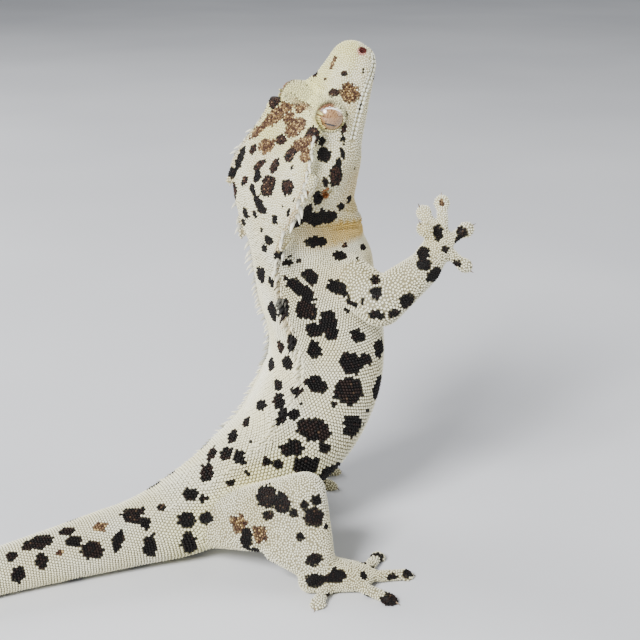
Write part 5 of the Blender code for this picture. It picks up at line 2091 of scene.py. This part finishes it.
@dataclass
class Eye:
    """An eyeball in its lids.

    Attributes:
        skin: The skin round it.
        markings: The colours of that skin.
        side: 1 for the left, -1 for the right.
        ball_finish, lid_finish: What the ball and the lids are made of.
        opening: Half the opening's size along the head and across it.
        shift: How far its middle lies off the ball's.
        lid_pitch: How far apart the lids' scales stand.
        lid_steps: How many steps the lids have round the eye.
        lash_turns: Where the lashes stand, in degrees round the eye.
        shares: The lids' rings, as shares of the way from the opening to the outer edge.
        sector_turns: Where the front with its painted highlight, the dull and the ruddy sector have their middles, in
            radians.
        hover, overlap: From how high the head's skin is looked for, and how far the lids reach into it.
        thickness: How far the lids lie off the ball.
        rows, tones: Points and colours of the lids, by step and from the eye out.
        wet, edge, fold, line, grey, rim: Their colours from the eye out, the first a painted highlight.
    """

    skin: Skin
    markings: Markings
    side: int
    ball_finish: Material
    lid_finish: Material
    opening: tuple[float, float] = (1.85, 2.3)
    shift: tuple[float, float] = (-0.3, -0.05)
    lid_pitch: float = 0.42
    lid_steps: int = 64
    lash_turns: tuple = (84, 97, 109, 121, 132, 143, 155)
    shares: tuple = (0.0, 0.08, 0.18, 0.3, 0.42, 0.6, 0.8, 1.0)
    sector_turns: Place = (0.3, -0.5, 1.0)
    hover: float = 6.0
    overlap: float = 0.1
    thickness: float = 0.15
    rows: Array = field(init=False)
    tones: Array = field(init=False)
    wet: Colour = (250, 244, 236)
    edge: Colour = (78, 52, 38)
    fold: Colour = (140, 98, 70)
    line: Colour = (74, 52, 30)
    grey: Colour = (228, 222, 180)
    rim: Colour = (238, 226, 150)

    @property
    def name(self) -> str:
        """The side's name."""
        return "left" if self.side > 0 else "right"

    def ball(self) -> Object:
        """The eyeball, with a map whose middle is where it looks."""
        centre, look, forward, up = self.skin.eye(self.side)
        bpy.ops.mesh.primitive_uv_sphere_add(segments=64, ring_count=40, radius=1.0)
        made = bpy.context.object
        made.name = f"eyeball_{self.name}"
        points = np.array([corner.co[:] for corner in made.data.vertices])
        flat = points[:, :2] / 2 + 0.5
        layer = made.data.uv_layers[0]
        layer.name = "Iris"
        corners = np.empty(len(made.data.loops), int)
        made.data.loops.foreach_get("vertex_index", corners)
        layer.data.foreach_set("uv", flat[corners].astype(np.float32).ravel())
        placed = centre + (points[:, :1] * forward + points[:, 1:2] * up + points[:, 2:] * look) * self.skin.eye_radius
        write_points(made, placed)
        face_outward(made)
        made.data.shade_smooth()
        made.data.materials.append(self.ball_finish)
        return made

    def _place_lids(self) -> Array:
        """Find the lids' points, and return how far each step faces the front, the dull and the ruddy side."""
        centre, look, forward, up = self.skin.eye(self.side)
        ahead, over, under = self.skin.lid_reach
        rows, sectors = [], []
        for n in range(self.lid_steps):
            angle = math.tau * n / self.lid_steps
            turned, raised = math.cos(angle), math.sin(angle)
            reach = math.hypot(self.opening[0] * turned, self.opening[1] * raised)
            inside = forward * (turned * reach + self.shift[0]) + up * (raised * reach + self.shift[1])
            outside = forward * (turned * ahead + self.skin.lid_ahead) + up * (raised * (over if raised > 0 else under))
            hit = self.skin.hit(centre + outside + look * self.hover, -look)
            ground = float((hit[0] - centre) @ look) - self.overlap
            for share in self.shares:
                foot = inside + (outside - inside) * share
                lift = self.skin.eye_radius + self.thickness * min(share / 0.16, 1.0)
                cap = math.sqrt(max(lift**2 - float(foot @ foot), 0.0))
                blend = float(smooth_share(np.array((share - 0.06) / 0.9)))
                ring = 0.16 * math.exp(-(((share - 0.76) / 0.14) ** 2))
                height = cap + (ground - cap) * blend + ring
                rows.append(centre + foot + look * (max(height, cap) if cap > 0.0 else height))
            sectors.append([math.cos(angle - turn) for turn in self.sector_turns])
        self.rows = np.array(rows).reshape(self.lid_steps, -1, 3)
        return np.array(sectors)

    def _tone_lids(self, sectors: Array) -> None:
        """Colour the lids, from a painted highlight at the front or brown at the eye, to the head's own marking."""
        front, dull, ruddy = (smooth_share((sectors - 0.2) / 0.6)[:, n, None] for n in range(3))
        wet, edge, fold, line, grey, rim = (
            linear(*tone) for tone in (self.wet, self.edge, self.fold, self.line, self.grey, self.rim)
        )
        plain = self.markings.colour(self.rows.reshape(-1, 3), np.random.default_rng(4), 0.04)
        self.tones = plain.reshape(self.lid_steps, -1, 3)
        for ring, amount, inner in ((1, 1.0, fold), (2, 1.0, fold), (3, 1.0, fold), (4, 0.9, line), (5, 0.1, line)):
            tone = self.tones[:, ring] + (rim - self.tones[:, ring]) * (1.0 - ring / 6.0)
            tone = tone + (grey - tone) * dull * 0.8
            self.tones[:, ring] = tone + (inner - tone) * ruddy * amount
        self.tones[:, 1] += (edge - self.tones[:, 1]) * (1.0 - front) * 0.4
        self.tones[:, 0] = edge
        # The front of the opening's inner rings gets a painted highlight, brighter than white.
        self.tones[:, :2] += (wet * 1.3 - self.tones[:, :2]) * front[:, None]

    def lids(self) -> Object:
        """The soft ring of skin round the opening, from the ball's edge out to the head's own skin."""
        self._tone_lids(self._place_lids())
        across = self.rows.shape[1]
        faces = []
        for n in range(self.lid_steps):
            m = (n + 1) % self.lid_steps
            for k in range(across - 1):
                a, b, c, d = n * across + k, n * across + k + 1, m * across + k + 1, m * across + k
                faces += [(a, b, c), (a, c, d)]
        made = from_arrays(f"lids_{self.name}", self.rows.reshape(-1, 3), np.array(faces))
        face_outward(made)
        # The lids' skin is dimmed as painted shade between their scales, the more from the third ring out.
        dim = np.interp(np.arange(self.tones.shape[1]), (2.0, 3.5), (0.85, 0.5))[:, None]
        paint(made, (self.tones * dim).reshape(-1, 3))
        made.data.shade_smooth()
        made.data.materials.append(self.lid_finish)
        return made

    def lashes(self, spine: Template) -> Object:
        """The short pointed scales that reach over the eye from the side of the crown."""
        look = self.skin.eye(self.side)[1]
        steps = (np.array(self.lash_turns) / 360.0 * self.lid_steps).astype(int)
        point = self.rows[steps, 2]
        middle = self.rows[:, 0].mean(0)
        outward = unit(look * 0.55 + unit(middle - point) * 0.8)
        back = unit(np.cross(outward, np.cross(look, outward)))
        count = len(point)
        draw = np.random.default_rng(17)
        length = draw.uniform(0.8, 1.35, count)
        colour = linear(*self.rim) * draw.uniform(0.85, 1.05, (count, 1))
        bake = np.stack([np.linspace(0.1, 0.9, count), np.full(count, 0.5)], axis=1)
        roots = Roots(point, outward, back, length, length, colour, bake)
        return spine.repeat(f"lashes_{self.name}", roots, length * 0.9, self.lid_finish)

    def lid_scales(self, granule: Template) -> Object:
        """Fine scales packed over the lids, from just outside the opening to their outer edge."""
        centre = self.skin.eye(self.side)[0]
        draw = np.random.default_rng(21)
        here, turned = self.rows, np.roll(self.rows, -1, axis=0)
        area = lengths(np.cross(turned[:, :-1] - here[:, :-1], here[:, 1:] - here[:, :-1]))
        area[:, 0] = 0.0
        count = int(area.sum() / self.lid_pitch**2 * 24)
        n, k = np.divmod(draw.choice(area.size, count, p=area.ravel() / area.sum()), area.shape[1])
        m = (n + 1) % self.lid_steps
        u, v = draw.random((2, count, 1))
        near, far = here[n, k] * (1 - v) + here[n, k + 1] * v, here[m, k] * (1 - v) + here[m, k + 1] * v
        point = near * (1 - u) + far * u
        across = (here[n, k + 1] - here[n, k]) * (1 - u) + (here[m, k + 1] - here[m, k]) * u
        facing = unit(np.cross(far - near, across))
        facing *= np.where(np.sum(facing * (point - centre), axis=1) < 0, -1.0, 1.0)[:, None]
        tone = self.tones[n, k] * (1 - v) + self.tones[n, k + 1] * v
        keep = (k > 1) | (v[:, 0] > 0.5)
        chosen = [int(np.argmax(keep))]
        for dart in np.flatnonzero(keep):
            if lengths(point[chosen] - point[dart]).min() > self.lid_pitch * 0.84:
                chosen.append(int(dart))
        count = len(chosen)
        fleck = np.where(draw.random((count, 1)) < 0.03, 0.25, draw.uniform(0.9, 1.08, (count, 1)))
        bake = np.stack([(n[:, None] + u)[:, 0] / self.lid_steps, (k[:, None] + v)[:, 0] / area.shape[1]], axis=1)
        point, facing = point[chosen], facing[chosen]
        back = unit(np.cross(facing, np.cross(point - centre, facing)) + 1e-6)
        size = np.full(count, self.lid_pitch)
        roots = Roots(point, facing, back, size, size * 0.5, tone[chosen] * fleck, bake[chosen] * 0.98 + 0.01)
        return granule.repeat(f"lid_scales_{self.name}", roots, size, self.lid_finish)


@dataclass
class Lips:
    """The pale plates that border the mouth, a row on each lip of each side.

    Attributes:
        skin: The skin that they stand on.
        markings: Their colours.
        pitch: How far apart the plates stand.
        aside: How far from the line of the mouth.
        finish: The skin's own finish.
        pale: Their colour.
    """

    skin: Skin
    markings: Markings
    finish: Material
    pitch: float = 0.8
    aside: float = 0.46
    pale: Colour = (248, 247, 224)

    def _plate(self) -> Template:
        """One plate: a low eight-sided cushion, longer than it is wide."""
        made = cone(8, 0.54, 0.42, 0.9, 0.25)
        bpy.ops.object.mode_set(mode="EDIT")
        shaped = bmesh.from_edit_mesh(made.data)
        for face in shaped.faces:
            face.select_set(face.normal.z > 0.9)
        bpy.ops.mesh.inset(thickness=0.14)
        bpy.ops.transform.translate(value=(0, 0, 0.3))
        bpy.ops.object.mode_set(mode="OBJECT")
        for corner in made.data.vertices:
            corner.co.y *= 0.86
        return Template.take(made)

    def build(self) -> Object:
        """All the plates in one piece."""
        points, backs = [], []
        for side in SIDES:
            for shift in (-0.12, 0.12):
                line, other = self.skin.lip_line(side), self.skin.lip_line(side, shift)
                gone = gone_along(line)
                steps = np.arange(self.pitch / 2, gone[-1] + 0.4, self.pitch)
                base = np.stack([np.interp(steps, gone, line[:, axis]) for axis in range(3)], axis=1)
                off = np.stack([np.interp(steps, gone, other[:, axis]) for axis in range(3)], axis=1)
                points.append(base + unit(off - base) * self.aside)
                backs.append(np.broadcast_to(unit(line[0] - line[-1]), base.shape))
        place, outward, _ = self.skin.settle(np.concatenate(points))
        back = laid(np.concatenate(backs), outward)
        count = len(place)
        draw = np.random.default_rng(9)
        pale = linear(*self.pale) * draw.uniform(0.86, 1.0, (count, 1))
        bake = np.stack([np.linspace(0.02, 0.98, count), np.full(count, 0.5)], axis=1)
        size = np.full(count, self.pitch)
        roots = Roots(place, outward, back, size * 0.5, size * 0.2, pale, bake)
        return self._plate().repeat("lip_plates", roots, size, self.finish)


@dataclass
class Claws:
    """The small hooked claws, one past each pad.

    Attributes:
        finish: Horn.
        length: How long each is.
        radius: Half its width at the root.
    """

    finish: Material
    length: float = 0.85
    radius: float = 0.26

    def _claw(self) -> Template:
        """One claw: a slim cone that hooks towards the sole."""
        made = cone(8, 1.0, 0.12, 1.5, 0.25)
        cut((0.0, 0.35, 0.7))
        for corner in made.data.vertices:
            rise = corner.co.z
            corner.co.x *= self.radius
            corner.co.y *= self.radius * 0.7
            corner.co.x += 0.3 * max(rise, 0.0) ** 2
        return Template.take(made)

    def build(self) -> Object:
        """All the claws in one piece."""
        claw = self._claw()
        points = []
        for toe in (toe for limb in LIMBS for toe in limb.toes):
            pad, ahead, across, sole = toe.axes()
            placed = pad + ahead * 1.45 - sole * 0.2 + claw.corners[:, :1] * sole + claw.corners[:, 1:2] * across
            points.append(placed + claw.corners[:, 2:] * ahead * self.length)
        placed = np.concatenate(points)
        placed[:, 2] = np.maximum(placed[:, 2], FLOOR_GAP)
        made = from_arrays("claws", placed, claw.tile(len(points)))
        made.data.materials.append(self.finish)
        return made


@dataclass
class Lamellae:
    """The thin cross ridges on the soles of the raised hands' pads.

    Attributes:
        finish: The skin's own finish.
        count: How many ridges each pad has.
        reach: How far along the toe they run, behind the pad's middle and past it.
        depth: How far under the pad's middle they lie.
        tone: Their colour.
    """

    finish: Material
    count: int = 7
    reach: tuple[float, float] = (-1.7, 1.15)
    depth: float = 0.78
    tone: Colour = (214, 200, 168)

    def build(self) -> Object:
        """All the ridges in one piece."""
        bpy.ops.mesh.primitive_cube_add(size=1.0)
        made = bpy.context.object
        bevel = made.modifiers.new("Round", "BEVEL")
        bevel.width = 0.2
        only_select(made)
        bpy.ops.object.modifier_apply(modifier=bevel.name)
        bar = Template.take(made)
        points = []
        for toe in (toe for limb in LIMBS[:2] for toe in limb.toes):
            pad, ahead, across, sole = toe.axes()
            leant = ahead * 0.94 - sole * 0.34
            for along_toe in np.linspace(*self.reach, self.count):
                wide = 2.5 * math.sqrt(max(1.0 - (along_toe / 1.9) ** 2, 0.1))
                deep = self.depth * math.sqrt(max(1.0 - (along_toe / 2.1) ** 2, 0.1))
                middle = pad + ahead * along_toe + sole * deep
                corners = bar.corners * (0.2, wide * 0.8, 0.22)
                points.append(middle + corners[:, :1] * leant + corners[:, 1:2] * across + corners[:, 2:] * sole)
        made = from_arrays("pad_ridges", np.concatenate(points), bar.tile(len(points)))
        paint(made, np.broadcast_to(linear(*self.tone), (len(made.data.vertices), 3)))
        made.data.materials.append(self.finish)
        return made


@dataclass
class Studio:
    """A plain pale floor and soft studio light.

    Attributes:
        floor_size: Width of the floor, in metres.
        sky, sky_strength: Colour and strength of the light from all round.
    """

    floor_size: float = 3.0
    sky: Place = (0.93, 0.96, 1.0)
    sky_strength: float = 0.36

    def _lamp(self, name: str, place: tuple, target: tuple, size: float, power: float) -> None:
        """A square softbox that faces a target."""
        data = bpy.data.lights.new(name, "AREA")
        data.shape = "SQUARE"
        data.size = size
        data.energy = power
        lamp = bpy.data.objects.new(name, data)
        way = Vector(place) - Vector(target)
        lamp.matrix_world = Matrix.Translation(place) @ way.to_track_quat("Z", "Y").to_matrix().to_4x4()
        bpy.context.scene.collection.objects.link(lamp)

    def build(self) -> None:
        """Add the floor, the lamps and the sky."""
        bpy.ops.mesh.primitive_plane_add(size=self.floor_size, location=(0, 0, 0))
        floor = bpy.context.object
        floor.name = "floor"
        floor.data.transform(Matrix.Translation((0, 0, -0.00005)))
        floor.data.materials.append(PALE_FLOOR.build("pale_floor"))
        middle = (0.05, 0.0, 0.05)
        self._lamp("key", (-0.5, -0.36, 0.56), middle, 0.26, 13.0)
        self._lamp("fill", (0.7, -0.3, 0.3), middle, 0.5, 2.2)
        self._lamp("rim", (-0.3, 0.6, 0.5), middle, 0.4, 4.0)
        world = bpy.context.scene.world or bpy.data.worlds.new("sky")
        bpy.context.scene.world = world
        world.use_nodes = True
        background = world.node_tree.nodes["Background"]
        background.inputs["Color"].default_value = (*self.sky, 1.0)
        background.inputs["Strength"].default_value = self.sky_strength


class Gecko:
    """The whole animal, built in order over the frame.

    Attributes:
        gap_shade, head_shade: How dim the skin is between the scales of the body and of the head, painted shade in the
            gaps.
    """

    gap_shade: Place = (0.3, 0.28, 0.22)
    head_shade: Place = (0.54, 0.5, 0.38)

    def __init__(self, nodes: dict) -> None:
        """Hold the frame's nodes and the parts' shared finishes."""
        self.nodes = nodes
        self.shape = BodyShape()
        self.view = View()
        self.scaly = SkinFinish().build("scaly_skin")

    def _add(self, piece: Object) -> None:
        """Let a piece ride on the frame, and log how many faces it has."""
        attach(piece, "root")
        LOG.info("%s: %d faces", piece.name, len(piece.data.polygons))

    def build(self) -> None:
        """Build every piece."""
        self.view.build()
        skin = Skin(self.shape)
        body = skin.build()
        markings = Markings(skin, self.view)
        # The skin between the scales is dimmed as painted shade, less on the head than on the body.
        near_snout = lengths(skin.points - np.array(self.shape.snout))
        dim = smooth_share((near_snout - 32.0) / 12.0)[:, None]
        gap = np.array(self.head_shade) * (1 - dim) + np.array(self.gap_shade) * dim
        paint(body, markings.colour(skin.points, np.random.default_rng(1), 0.02) * gap)
        body.data.materials.append(self.scaly)
        self._add(body)
        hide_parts(*[name for name in self.nodes if not name.startswith("eye")])
        coat = Coat(skin, markings, Bones(), self.scaly)
        for piece in coat.build():
            self._add(piece)
        crest = Crest(skin, markings, self.scaly)
        for piece in crest.build():
            self._add(piece)
        glossy = EyeFinish().build("eye")
        for side in (RIGHT_SIDE, LEFT_SIDE):
            eye = Eye(skin, markings, side, glossy, self.scaly)
            ball = eye.ball()
            self._add(ball)
            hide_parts(f"eye_{eye.name}")
            self._add(eye.lids())
            self._add(eye.lid_scales(coat.granule()))
            self._add(eye.lashes(crest.spine()))
        self._add(Lips(skin, markings, self.scaly).build())
        self._add(Lamellae(self.scaly).build())
        self._add(Claws(HORN.build("horn")).build())
        Studio().build()


def main() -> None:
    """Load the frame and build the gecko over it."""
    logging.basicConfig(level=logging.INFO, format="%(name)s: %(message)s")
    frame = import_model()
    bpy.ops.object.select_all(action="DESELECT")
    Gecko(frame["nodes"]).build()


if __name__ == "__main__":
    main()
